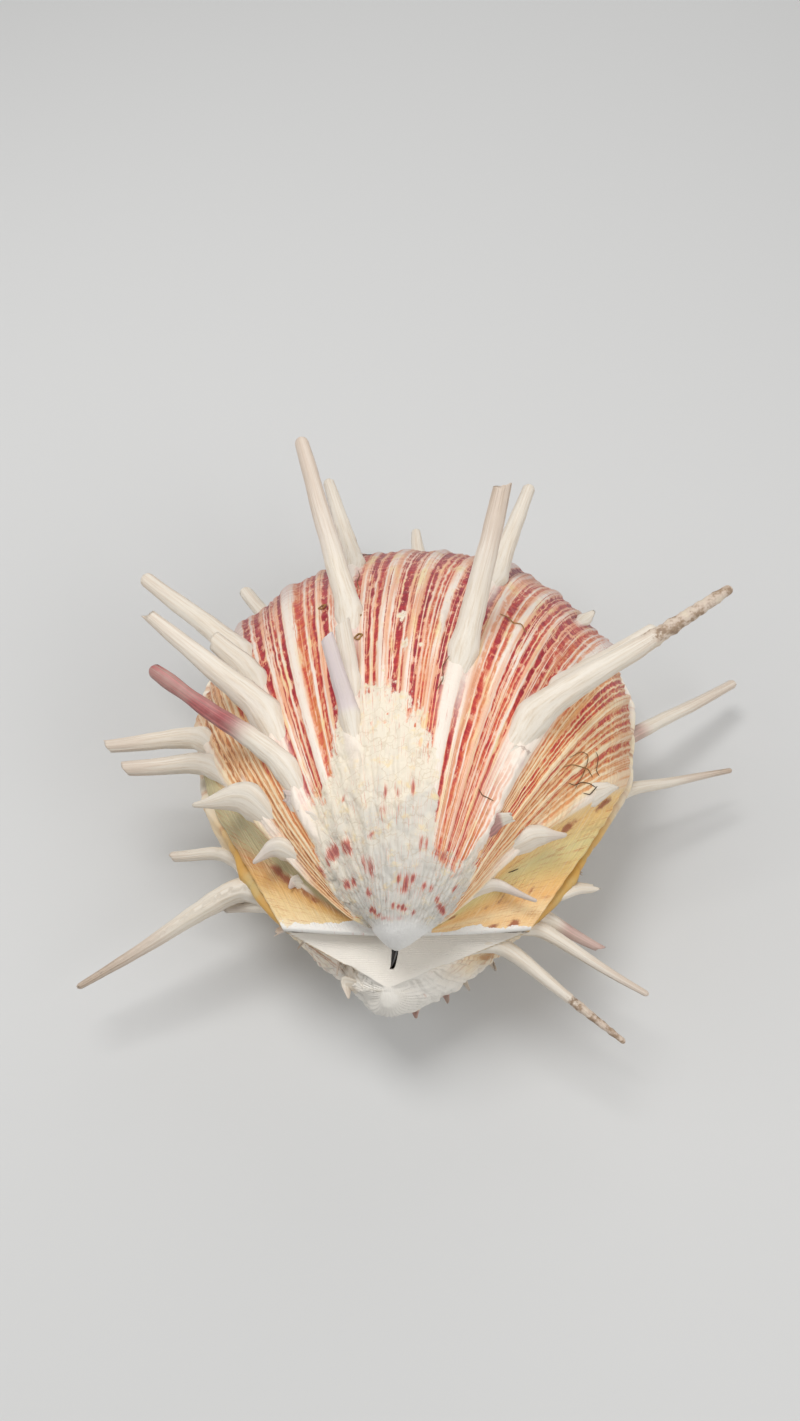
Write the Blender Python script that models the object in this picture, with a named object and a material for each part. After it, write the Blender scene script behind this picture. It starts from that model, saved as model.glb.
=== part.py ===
# Spiny oyster shell, closed, lying on the flat scar of its lower valve
# Metres, +Z up, origin at the middle of the scar, hinge towards -Y
# Each valve is a logarithmic spiral: every growth line is a smaller, turned copy of the margin

import math

import bmesh
import bpy
from mathutils import Matrix, Vector

MM = 0.001

# Margin, seen square on from above: an ellipse with straight shoulders down to the hinge line
MARGIN_CENTRE = (2.4 * MM, 51.4 * MM)
MARGIN_RADII = (45.2 * MM, 50.6 * MM)
MARGIN_LEAN = 1.6 * MM
HINGE_LEFT = 22.5 * MM
HINGE_RIGHT = 23.0 * MM

# Turn of a growth line, in degrees, for each natural logarithm that it is smaller by
UPPER_TURN = 51.0
LOWER_TURN = 40.0
SMALLEST_UPPER = math.exp(-180.0 / UPPER_TURN)
SMALLEST_LOWER = 0.03

# Seam between the valves, and the thickness of their lips
SEAM_GAP = 0.3 * MM
UPPER_LIP = 1.5 * MM
LOWER_LIP = 1.5 * MM
HINGE_SETBACK = 1.0 * MM
HINGE_BOW = 1.2 * MM
BOW_REACH = (3.0 * MM, 20.0 * MM)
LOWER_RIM = 2.4 * MM
LOWER_BEAK = Vector((-3.2 * MM, -9.2 * MM, -6.3 * MM))

# Ribs: fan angle where they meet the margin, height in millimetres, half width in degrees
UPPER_RIBS = (
    (-42, 1.3, 2.6),
    (-25, 1.5, 2.4),
    (-17, 0.9, 2.0),
    (-6, 1.2, 2.2),
    (15, 1.2, 2.2),
    (33, 1.5, 2.6),
    (53, 1.2, 2.6),
)
LOWER_RIBS = (
    (-69, 1.0, 3.0),
    (-55, 1.0, 2.8),
    (-36, 1.0, 2.8),
    (-19, 1.0, 2.8),
    (3, 1.0, 2.8),
    (22, 1.0, 2.8),
    (42, 1.1, 2.8),
    (54, 1.0, 2.8),
    (72, 1.0, 3.0),
)

# Broad shoulders, written as the ribs are, which make each valve rounder from side to side
UPPER_SHOULDERS = ((-34, 3.6, 15), (37, 3.6, 15))
LOWER_SHOULDERS = ((-42, 4.0, 18), (42, 4.0, 18))
SHOULDER_PEAK = 27 / 4

# Sweep of the ribs in degrees as the shell grows, stronger towards the left, and the age it stops at
SWEEP_SLOPE = 0.2
SWEEP_BASE = -9.0
SWEEP_LEFT = 0.017
SWEEP_LIMIT = -45.0
SWEEP_AGE = 1.5

# Spines: fan angle of the rib, growth at the root (1 is the margin), heading from straight back
# towards +X and rise above the seam in degrees, then length, foot and tip diameters in millimetres
UPPER_SPINES = {
    "tall_left": (-6, 0.64, -16, 19, 41.0, 4.4, 2.8),
    "tall_left_rear": (-6, 0.87, -13, -3, 31.5, 3.4, 2.4),
    "tall_right": (15, 0.52, 16, 31, 34.5, 4.6, 3.2),
    "tall_right_rear": (15, 0.79, 19, 3, 29.5, 4.2, 2.2),
    "stub_inner": (-6, 0.48, -10, 30, 12.5, 3.2, 2.8),
    "stub_lilac": (-7, 0.42, -19, 35, 16.5, 3.4, 2.8),
    "shoulder_rear": (-26, 0.81, -44, -2, 33.5, 4.2, 2.2),
    "shoulder_stub": (-25, 0.70, -43, 7, 14.5, 3.6, 2.6),
    "shoulder_long": (-25, 0.60, -51, 14, 33.5, 4.8, 1.8),
    "shoulder_pink": (-25, 0.48, -55, 12, 32.0, 4.0, 2.6),
    "side_rear": (-42, 0.93, -89, -8, 22.0, 4.4, 2.4),
    "side_front": (-44, 0.87, -86, -8, 20.0, 4.2, 2.6),
    "side_leaf": (-39, 0.63, -88, -8, 11.5, 4.4, 0.8),
    "side_thorn": (-41, 0.53, -110, -18, 6.0, 3.0, 0.7),
    "right_long": (31, 0.50, 62, 18, 44.0, 6.0, 2.6),
    "right_twin": (33, 0.62, 54, 5, 23.5, 4.6, 1.8),
    "right_chip": (28, 0.93, 44, -8, 4.5, 2.4, 1.2),
    "outer_scale": (53, 0.81, 64, 3, 6.0, 3.4, 1.4),
    "outer_thorn": (52, 0.48, 79, -4, 7.5, 3.2, 0.8),
    "outer_hook": (57, 0.36, 101, -18, 9.5, 3.0, 0.7),
}
LOWER_SPINES = {
    "left_floor": (-56, 0.86, -76, -20, 15.0, 3.4, 2.4),
    "left_long": (-69, 0.86, -108, -18, 39.5, 6.2, 1.8),
    "left_hidden": (-64, 0.76, -78, -25, 13.0, 3.4, 1.6),
    "right_upper": (42, 0.90, 53, -8, 39.5, 3.8, 2.0),
    "right_middle": (50, 0.90, 67, -12, 30.5, 3.6, 1.3),
    "ear_slim": (81, 0.84, 114, -18, 26.0, 3.4, 1.4),
    "ear_flaking": (78, 0.58, 121, -20, 31.0, 4.2, 2.2),
    "ear_hidden": (74, 0.78, 102, -28, 17.5, 3.8, 1.6),
    "ear_stub": (71, 0.90, 75, -12, 9.0, 4.2, 2.4),
    "rear_thorn": (3, 0.94, -3, 14, 16.0, 3.2, 1.2),
    "rear_left": (-19, 0.94, -32, 3, 15.5, 3.2, 1.6),
    "under_left": (-36, 0.72, -48, -16, 12.0, 3.4, 1.2),
    "under_rear": (3, 0.80, 4, -8, 11.0, 3.4, 1.4),
    "under_right": (22, 0.76, 28, -9, 12.0, 3.4, 1.2),
}
SPINE_POINTS = 6
SPINE_TAPER = 1.3
SPINE_LEAVE = 0.22

# Hollow of each valve: its outside, shrunk about a point on the seam
HOLLOW_CENTRE = Vector((2.0 * MM, 52.0 * MM, 0.0))
HOLLOW_SCALE = Vector((0.86, 0.83, 0.80))

# Slit in the triangle under the hinge, and the ligament in it
LIGAMENT_SIZE = Vector((1.3 * MM, 5.8 * MM, 2.4 * MM))
LIGAMENT_CENTRE = Vector((-1.6 * MM, -3.3 * MM, -4.1 * MM))
LIGAMENT_SLOPE = math.radians(26)
LIGAMENT_BEVEL = 0.3 * MM
SLIT_SIZE = LIGAMENT_SIZE + Vector((0.6 * MM, 0.6 * MM, 2.4 * MM))
SLIT_CENTRE = LIGAMENT_CENTRE + Vector((0.0, -0.36 * MM, 0.81 * MM))

# How the shell lies: leaning back onto the scar that is cut flat on the lower valve
REST_LEAN = math.radians(8)
SCAR_CENTRE = Vector((2.5 * MM, 36.5 * MM, 0.0))
SCAR_DEPTH = 2.2 * MM
FLOOR_BLOCK = Vector((0.2, 0.2, 0.02))


def smooth_step(value, low, high):
    t = min(max((value - low) / (high - low), 0.0), 1.0)
    return t * t * (3 - 2 * t)


def shoulder_tangent(side):
    """Point where the straight shoulder from one end of the hinge meets the ellipse."""
    cx, cy = MARGIN_CENTRE
    rx, ry = MARGIN_RADII
    half = HINGE_LEFT if side < 0 else HINGE_RIGHT
    v = -cy / ry
    u = (side * half - cx - MARGIN_LEAN * v) / rx
    square = u * u + v * v
    root = math.sqrt(square - 1)
    tangent_u = (u - side * v * root) / square
    tangent_v = (v + side * u * root) / square
    return cx + MARGIN_LEAN * tangent_v + rx * tangent_u, cy + ry * tangent_v


TANGENTS = {side: shoulder_tangent(side) for side in (-1, 1)}


def margin_radius(fan):
    """Distance from the middle of the hinge to the margin at a fan angle in radians."""
    cx, cy = MARGIN_CENTRE
    rx, ry = MARGIN_RADII
    s, c = math.sin(fan), math.cos(fan)
    side = -1 if fan < 0 else 1
    tx, ty = TANGENTS[side]
    if abs(fan) > abs(math.atan2(tx, ty)):
        hinge_x = side * (HINGE_LEFT if side < 0 else HINGE_RIGHT)
        return hinge_x * ty / (s * ty - c * (tx - hinge_x))
    a, b = c / ry, -cy / ry
    m, q = (s - MARGIN_LEAN * a) / rx, -(cx + MARGIN_LEAN * b) / rx
    square, linear, constant = m * m + a * a, m * q + a * b, q * q + b * b - 1
    return (-linear + math.sqrt(linear * linear - square * constant)) / square


def fan_angle(rib, growth):
    """Fan angle in degrees of a rib that meets the margin at the angle rib: ribs sweep as they grow."""
    age = SWEEP_AGE * math.tanh(-math.log(growth) / SWEEP_AGE)
    sweep = max(SWEEP_SLOPE * rib + SWEEP_BASE - SWEEP_LEFT * min(rib + 6, 0) ** 2, SWEEP_LIMIT)
    return rib + sweep * age * (1 - abs(rib) / 90)


def turned(y, z, angle):
    c, s = math.cos(angle), math.sin(angle)
    return y * c - z * s, y * s + z * c


def upper_spiral(rib, growth):
    fan = math.radians(fan_angle(rib, growth))
    radius = growth * margin_radius(fan)
    x, flat_y = radius * math.sin(fan), radius * math.cos(fan)
    y, z = turned(flat_y, 0.0, math.radians(-UPPER_TURN * math.log(growth)))
    bow = HINGE_BOW * max(1 - (x / HINGE_RIGHT) ** 2, 0) * (1 - smooth_step(flat_y, *BOW_REACH))
    return Vector((x, y - HINGE_SETBACK - bow, z + UPPER_LIP))


def lower_spiral(rib, growth):
    fan = math.radians(fan_angle(rib, growth))
    side = smooth_step(abs(rib), 15, 60) * (1 - smooth_step(abs(rib), 75, 90))
    radius = margin_radius(fan) + LOWER_RIM * side
    lip = Vector((radius * math.sin(fan), radius * math.cos(fan), -SEAM_GAP - LOWER_LIP))
    arm = (lip - LOWER_BEAK) * growth
    swing = 1 - smooth_step(abs(rib), 60, 90)
    y, z = turned(arm.y, arm.z, math.radians(LOWER_TURN * math.log(growth)) * swing)
    return LOWER_BEAK + Vector((arm.x, y, z))


def outward(surface, rib, growth):
    """Unit normal of a valve's surface, pointing out of the shell."""
    across = surface(rib + 0.2, growth) - surface(rib - 0.2, growth)
    along = surface(rib, growth * 1.002) - surface(rib, growth * 0.998)
    normal = across.cross(along).normalized()
    return normal if surface in (upper_spiral, upper_surface) else -normal


def ridges(rows, rib):
    return sum(height * math.exp(-(((rib - centre) / half) ** 2)) for centre, height, half in rows)


def shouldered(spiral, shoulders, rib, growth):
    """A point of the spiral, pushed out by the shoulders, which fade at the margin and the beak."""
    weight = SHOULDER_PEAK * growth**2 * max(1 - growth, 0) * (1 - smooth_step(abs(rib), 70, 89))
    push = ridges(shoulders, rib) * weight * MM
    return spiral(rib, growth) + outward(spiral, rib, growth) * push


def upper_surface(rib, growth):
    return shouldered(upper_spiral, UPPER_SHOULDERS, rib, growth)


def lower_surface(rib, growth):
    return shouldered(lower_spiral, LOWER_SHOULDERS, rib, growth)


def rib_height(ribs, rib, growth):
    return ridges(ribs, rib) * MM * (0.2 + 0.8 * growth) * smooth_step(growth, 0.08, 0.3)


def fan_columns(ribs):
    """Fan angles of the grid's columns: three on each rib, and even steps between the ribs."""
    marks = [-90.0]
    for centre, _, half in ribs:
        marks += [centre - half, float(centre), centre + half]
    marks.append(90.0)
    columns = [marks[0]]
    for low, high in zip(marks, marks[1:]):
        steps = max(1, math.ceil((high - low) / 7.5))
        columns += [low + (high - low) * k / steps for k in range(1, steps + 1)]
    return columns


def growth_rows(smallest, count):
    low = math.sqrt(smallest)
    return [(low + (1 - low) * k / (count - 1)) ** 2 for k in range(count)]


def grown_sheet(surface, ribs, columns, rows):
    """An open sheet over the fan and the growth, raised along its ribs."""
    bm = bmesh.new()
    across, along = len(columns) - 1, len(rows) - 1
    bmesh.ops.create_grid(bm, x_segments=across, y_segments=along, size=0.5)
    place = {}
    for vert in bm.verts:
        i = round((vert.co.x + 0.5) * across)
        j = round((vert.co.y + 0.5) * along)
        place[vert] = (i, j)
    for vert, (i, j) in place.items():
        rib, growth = columns[i], rows[j]
        vert.co = surface(rib, growth)
        if ribs and abs(rib) < 89:
            vert.co += outward(surface, rib, growth) * rib_height(ribs, rib, growth)
    return bm, place


def close_to_plane(bm, height):
    """Drop the open border of a sheet straight onto a level plane and close it there."""
    border = [edge for edge in bm.edges if edge.is_boundary]
    made = bmesh.ops.extrude_edge_only(bm, edges=border)["geom"]
    for vert in [item for item in made if isinstance(item, bmesh.types.BMVert)]:
        vert.co.z = height
    rim = [item for item in made if isinstance(item, bmesh.types.BMEdge) and item.is_boundary]
    bmesh.ops.edgeloop_fill(bm, edges=rim)
    bmesh.ops.recalc_face_normals(bm, faces=bm.faces[:])


def close_beak(bm, place, columns, rows):
    """Join the two hinge edges of the lower sheet with the flat triangle, and cap its small end."""
    last = len(columns) - 1
    chains = []
    for column in (0, last):
        column_verts = {v for v, (i, _) in place.items() if i == column}
        chains += [e for e in bm.edges if all(v in column_verts for v in e.verts)]
    bmesh.ops.bridge_loops(bm, edges=chains)
    first_row = {v for v, (_, j) in place.items() if j == 0}
    cap = [e for e in bm.edges if e.is_boundary and all(v in first_row for v in e.verts)]
    bmesh.ops.edgeloop_fill(bm, edges=cap)


def upper_body(ribs, columns, rows, height):
    bm, _ = grown_sheet(upper_surface, ribs, columns, rows)
    close_to_plane(bm, height)
    return bm


def lower_body(ribs, columns, rows, height):
    bm, place = grown_sheet(lower_surface, ribs, columns, rows)
    close_beak(bm, place, columns, rows)
    close_to_plane(bm, height)
    return bm


def material(name, colour, roughness):
    made = bpy.data.materials.new(name)
    made.use_nodes = True
    shader = made.node_tree.nodes["Principled BSDF"]
    shader.inputs["Base Color"].default_value = (*colour, 1.0)
    shader.inputs["Roughness"].default_value = roughness
    shader.inputs["Metallic"].default_value = 0.0
    return made


def add_object(bm, name, collection, parent):
    mesh = bpy.data.meshes.new(name)
    bm.to_mesh(mesh)
    bm.free()
    mesh.update()
    added = bpy.data.objects.new(name, mesh)
    collection.objects.link(added)
    added.parent = parent
    return added


def hide_as_cutter(added):
    added.hide_render = True
    added.display_type = "WIRE"


def hollow_cutter(name, body, reach, collection, parent):
    """The inside of a valve: its plain outside shrunk, and taken past the seam by reach."""
    rows = growth_rows(0.12, 9)
    columns = [-90 + 12 * k for k in range(16)]
    bm = body((), columns, rows, reach)
    for vert in bm.verts:
        offset = vert.co - HOLLOW_CENTRE
        scaled = Vector((offset.x * HOLLOW_SCALE.x, offset.y * HOLLOW_SCALE.y, offset.z * HOLLOW_SCALE.z))
        vert.co = HOLLOW_CENTRE + scaled
    cutter = add_object(bm, name, collection, parent)
    hide_as_cutter(cutter)
    return cutter


def spine_path(surface, row):
    """Points and radii of a spine: it leaves its rib low, and bends up into its own heading."""
    rib, growth, heading, rise, length, foot, tip = row
    root = surface(rib, growth)
    along = (surface(rib, growth + 0.002) - surface(rib, growth - 0.002)).normalized()
    normal = outward(surface, rib, growth)
    h, r = math.radians(heading), math.radians(rise)
    direction = Vector((math.sin(h) * math.cos(r), math.cos(h) * math.cos(r), math.sin(r)))
    end = root + direction * length * MM
    start = root - normal * foot * 0.45 * MM - along * foot * 0.5 * MM
    leave = start + (along * 0.75 + direction * 0.25) * length * SPINE_LEAVE * MM
    bend = root + direction * length * 0.5 * MM
    points, radii = [], []
    for k in range(SPINE_POINTS):
        u = k / (SPINE_POINTS - 1)
        v = 1 - u
        points.append(start * v**3 + leave * 3 * v * v * u + bend * 3 * v * u * u + end * u**3)
        taper = v**SPINE_TAPER
        radii.append((foot * taper + tip * (1 - taper)) / 2 * MM)
    return points, radii


def spine_solid(name, points, radii, collection, parent):
    """A tapered tube, turned from a bevelled curve into a closed mesh."""
    curve = bpy.data.curves.new(name, "CURVE")
    curve.dimensions = "3D"
    curve.bevel_depth = MM
    curve.bevel_resolution = 1
    curve.use_fill_caps = True
    spline = curve.splines.new("POLY")
    spline.points.add(len(points) - 1)
    for point, place, radius in zip(spline.points, points, radii):
        point.co = (*place, 1.0)
        point.radius = radius / MM
    guide = bpy.data.objects.new(name, curve)
    collection.objects.link(guide)
    evaluated = guide.evaluated_get(bpy.context.evaluated_depsgraph_get())
    mesh = bpy.data.meshes.new_from_object(evaluated)
    bpy.data.objects.remove(guide)
    bm = bmesh.new()
    bm.from_mesh(mesh)
    bpy.data.meshes.remove(mesh)
    bmesh.ops.remove_doubles(bm, verts=bm.verts[:], dist=0.00001)
    bmesh.ops.recalc_face_normals(bm, faces=bm.faces[:])
    solid = add_object(bm, name, collection, parent)
    hide_as_cutter(solid)
    return solid


def boolean(target, operation, name, cutter=None, collection=None):
    modifier = target.modifiers.new(name, "BOOLEAN")
    modifier.operation = operation
    modifier.solver = "EXACT"
    if collection is None:
        modifier.object = cutter
    else:
        modifier.operand_type = "COLLECTION"
        modifier.collection = collection


def new_collection(name, parent):
    made = bpy.data.collections.new(name)
    parent.children.link(made)
    return made


def grow_spines(surface, rows, collection, parent):
    for name, row in rows.items():
        points, radii = spine_path(surface, row)
        spine_solid("spine_" + name, points, radii, collection, parent)


def box_body(size, bevel):
    bm = bmesh.new()
    bmesh.ops.create_cube(bm, size=1.0, matrix=Matrix.Diagonal((*size, 1.0)))
    if bevel:
        bmesh.ops.bevel(
            bm, geom=bm.edges[:], offset=bevel, segments=2, profile=0.5, affect="EDGES", material=-1
        )
    return bm


def finish(target, colour, roughness):
    target.data.materials.append(material(target.name, colour, roughness))
    target.data.shade_smooth()
    target.data.set_sharp_from_angle(angle=math.radians(40))


def build():
    for old in list(bpy.data.objects):
        bpy.data.objects.remove(old)

    scene = bpy.context.scene.collection
    parts = new_collection("spiny_oyster_shell", scene)
    cutters = new_collection("cutters", scene)
    upper_spines = new_collection("upper_spines", cutters)
    lower_spines = new_collection("lower_spines", cutters)

    lean = Matrix.Rotation(-REST_LEAN, 4, "X")
    lowest = min(
        (lean @ lower_surface(rib, growth)).z
        for rib in range(-60, 61, 2)
        for growth in growth_rows(0.1, 60)
    )
    shell = bpy.data.objects.new("shell_rest", None)
    parts.objects.link(shell)
    scar = lean @ SCAR_CENTRE
    shell.rotation_euler = (-REST_LEAN, 0, 0)
    shell.location = (-scar.x, -scar.y, -lowest - SCAR_DEPTH)

    upper = add_object(
        upper_body(UPPER_RIBS, fan_columns(UPPER_RIBS), growth_rows(SMALLEST_UPPER, 19), 0.0),
        "upper_valve", parts, shell,
    )
    lower = add_object(
        lower_body(LOWER_RIBS, fan_columns(LOWER_RIBS), growth_rows(SMALLEST_LOWER, 17), -SEAM_GAP),
        "lower_valve", parts, shell,
    )
    grow_spines(upper_surface, UPPER_SPINES, upper_spines, shell)
    grow_spines(lower_surface, LOWER_SPINES, lower_spines, shell)

    boolean(upper, "DIFFERENCE", "hollow", hollow_cutter("upper_hollow", upper_body, -MM, cutters, shell))
    boolean(upper, "UNION", "spines", collection=upper_spines)

    boolean(lower, "DIFFERENCE", "hollow", hollow_cutter("lower_hollow", lower_body, MM, cutters, shell))
    boolean(lower, "UNION", "spines", collection=lower_spines)
    slit = add_object(box_body(SLIT_SIZE, 0), "slit", cutters, shell)
    slit.location = SLIT_CENTRE
    slit.rotation_euler = (LIGAMENT_SLOPE, 0, 0)
    hide_as_cutter(slit)
    boolean(lower, "DIFFERENCE", "slit", slit)
    floor = add_object(box_body(FLOOR_BLOCK, 0), "floor", cutters, None)
    floor.location = (0, 0, -FLOOR_BLOCK.z / 2)
    hide_as_cutter(floor)
    boolean(lower, "DIFFERENCE", "scar", floor)

    ligament = add_object(box_body(LIGAMENT_SIZE, LIGAMENT_BEVEL), "hinge_ligament", parts, shell)
    ligament.location = LIGAMENT_CENTRE
    ligament.rotation_euler = (LIGAMENT_SLOPE, 0, 0)

    finish(upper, (0.80, 0.50, 0.38), 0.5)
    finish(lower, (0.82, 0.68, 0.45), 0.5)
    finish(ligament, (0.03, 0.02, 0.015), 0.4)


build()
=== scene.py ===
# Spiny oyster shell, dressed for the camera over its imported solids
# Tables are in millimetres and degrees in the shell's own axes: hinge along X, far margin at +Y, seam at z 0
# Each valve is a logarithmic spiral: every growth line is a smaller, turned copy of the margin

import math

import bmesh
import bpy
import numpy as np
from mathutils import Matrix, Vector, noise


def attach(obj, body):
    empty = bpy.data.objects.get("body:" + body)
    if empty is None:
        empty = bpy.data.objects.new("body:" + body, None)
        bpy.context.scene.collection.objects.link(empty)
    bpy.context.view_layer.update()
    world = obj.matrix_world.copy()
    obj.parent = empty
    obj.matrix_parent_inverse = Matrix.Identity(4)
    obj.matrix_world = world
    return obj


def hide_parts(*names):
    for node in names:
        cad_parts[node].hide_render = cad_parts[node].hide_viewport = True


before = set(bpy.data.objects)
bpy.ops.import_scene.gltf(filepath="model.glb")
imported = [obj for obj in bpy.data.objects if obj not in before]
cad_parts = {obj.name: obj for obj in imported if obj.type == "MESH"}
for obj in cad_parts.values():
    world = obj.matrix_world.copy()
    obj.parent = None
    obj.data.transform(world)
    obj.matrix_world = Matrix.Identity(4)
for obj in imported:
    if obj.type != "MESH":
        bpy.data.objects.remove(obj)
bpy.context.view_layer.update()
mm = 0.001
weld = 0.0005

# Outline of the margin and the growth of the two valves
form = {
    "centre": (2.4, 51.4),
    "radii": (45.2, 50.6),
    "lean": 1.6,
    "hingeLeft": 22.5,
    "hingeRight": 23.0,
    "upperTurn": 51.0,
    "lowerTurn": 40.0,
    "smallestUpper": math.exp(-180.0 / 51.0),
    "smallestLower": 0.03,
    "seamGap": 0.3,
    "upperLip": 1.5,
    "lowerLip": 1.5,
    "hingeSetback": 1.0,
    "hingeBow": 1.2,
    "bowReach": (3.0, 20.0),
    "beakShift": -1.7,
    "lowerRim": 2.4,
    "beak": np.array((-3.2, -9.2, -6.3)),
    "shoulderPeak": 27 / 4,
    "upperShoulders": ((-34, 3.6, 15), (37, 3.6, 15)),
    "lowerShoulders": ((-42, 4.0, 18), (42, 4.0, 18)),
    "flankHollow": ((-60, 4.3, 16),),
    "hollowCentre": Vector((2.0, 52.0, 0.0)),
    "triangleFace": np.array((0.0, -0.44, 0.90)),
    "restLean": math.radians(8),
    "scarCentre": Vector((2.5, 36.5, 0.0)),
    "scarDepth": 2.2,
}


def smoothStep(value, low, high):
    t = np.clip((value - low) / (high - low), 0.0, 1.0)
    return t * t * (3 - 2 * t)


def shoulderTangent(side):
    cx, cy = form["centre"]
    rx, ry = form["radii"]
    half = form["hingeLeft"] if side < 0 else form["hingeRight"]
    v = -cy / ry
    u = (side * half - cx - form["lean"] * v) / rx
    square = u * u + v * v
    root = math.sqrt(square - 1)
    tangentU = (u - side * v * root) / square
    tangentV = (v + side * u * root) / square
    return cx + form["lean"] * tangentV + rx * tangentU, cy + ry * tangentV


tangents = {side: shoulderTangent(side) for side in (-1, 1)}


# Distance from the middle of the hinge to the margin, at a fan angle in radians
def marginRadius(fan):
    cx, cy = form["centre"]
    rx, ry = form["radii"]
    s, c = np.sin(fan), np.cos(fan)
    a, b = c / ry, -cy / ry
    m, q = (s - form["lean"] * a) / rx, -(cx + form["lean"] * b) / rx
    square, linear, constant = m * m + a * a, m * q + a * b, q * q + b * b - 1
    radius = (-linear + np.sqrt(np.maximum(linear * linear - square * constant, 0))) / square
    for side in (-1, 1):
        tx, ty = tangents[side]
        hingeX = side * (form["hingeLeft"] if side < 0 else form["hingeRight"])
        straight = hingeX * ty / (s * ty - c * (tx - hingeX) + side * 1e-9)
        radius = np.where(side * fan > abs(math.atan2(tx, ty)), straight, radius)
    return radius


# Fan angle of a rib, named by its angle at the margin: the ribs sweep as they grow
def fanAngle(rib, growth):
    age = 1.5 * np.tanh(-np.log(growth) / 1.5)
    sweep = np.maximum(0.2 * rib - 9 - 0.017 * np.minimum(rib + 6, 0) ** 2, -45)
    return np.radians(rib + sweep * age * (1 - np.abs(rib) / 90))


def turned(y, z, angle):
    return y * np.cos(angle) - z * np.sin(angle), y * np.sin(angle) + z * np.cos(angle)


def upperSpiral(rib, growth):
    fan = fanAngle(rib, growth)
    radius = growth * marginRadius(fan)
    x, flatY = radius * np.sin(fan), radius * np.cos(fan)
    y, z = turned(flatY, 0.0, np.radians(-form["upperTurn"] * np.log(growth)))
    bow = form["hingeBow"] * np.maximum(1 - (x / form["hingeRight"]) ** 2, 0)
    bow = bow * (1 - smoothStep(flatY, *form["bowReach"]))
    x = x + form["beakShift"] * (1 - smoothStep(growth, 0.04, 0.2))
    return np.stack((x, y - form["hingeSetback"] - bow, z + form["upperLip"]), -1)


def lowerSpiral(rib, growth):
    fan = fanAngle(rib, growth)
    side = smoothStep(np.abs(rib), 15, 60) * (1 - smoothStep(np.abs(rib), 75, 90))
    radius = marginRadius(fan) + form["lowerRim"] * side
    level = np.full_like(radius, -form["seamGap"] - form["lowerLip"])
    lip = np.stack((radius * np.sin(fan), radius * np.cos(fan), level), -1)
    arm = (lip - form["beak"]) * growth[..., None]
    swing = 1 - smoothStep(np.abs(rib), 60, 90)
    y, z = turned(arm[..., 1], arm[..., 2], np.radians(form["lowerTurn"] * np.log(growth)) * swing)
    return form["beak"] + np.stack((arm[..., 0], y, z), -1)


def ridges(rows, rib):
    return sum(height * np.exp(-(((rib - centre) / half) ** 2)) for centre, height, half in rows)


def unit(vectors):
    return vectors / (np.linalg.norm(vectors, axis=-1, keepdims=True) + 1e-12)


# Unit normal that points out of the shell; sign is 1 for the upper valve and -1 for the lower
def outward(surface, sign, rib, growth):
    across = surface(rib + 0.2, growth) - surface(rib - 0.2, growth)
    along = surface(rib, growth * 1.002) - surface(rib, growth * 0.998)
    return sign * unit(np.cross(across, along))


def shouldered(spiral, sign, shoulders, rib, growth):
    weight = form["shoulderPeak"] * growth**2 * np.maximum(1 - growth, 0)
    push = ridges(shoulders, rib) * weight * (1 - smoothStep(np.abs(rib), 70, 89))
    return spiral(rib, growth) + outward(spiral, sign, rib, growth) * push[..., None]


def upperSurface(rib, growth):
    return shouldered(upperSpiral, 1, form["upperShoulders"], rib, growth)


# The left flank of the lower valve is hollowed towards the beak
def lowerSurface(rib, growth):
    window = smoothStep(growth, 0.17, 0.36) * (1 - smoothStep(growth, 0.52, 0.82))
    hollow = ridges(form["flankHollow"], rib) * window * (1 - smoothStep(np.abs(rib), 76, 89))
    points = shouldered(lowerSpiral, -1, form["lowerShoulders"], rib, growth)
    return points - outward(lowerSpiral, -1, rib, growth) * hollow[..., None]


# The shell leans back onto its scar
lean = Matrix.Rotation(-form["restLean"], 4, "X")
probeAges = (math.sqrt(0.1) + (1 - math.sqrt(0.1)) * np.arange(60) / 59) ** 2
probe = lowerSurface(*np.meshgrid(np.arange(-60, 61, 2.0), probeAges))
lowest = (probe[..., 1] * lean[2][1] + probe[..., 2] * lean[2][2]).min()
scar = lean @ form["scarCentre"]
toRow = (
    Matrix.Scale(mm, 4)
    @ Matrix.Translation((-scar.x, -scar.y, -lowest - form["scarDepth"]))
    @ lean
)

print("growth laws ready")


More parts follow.
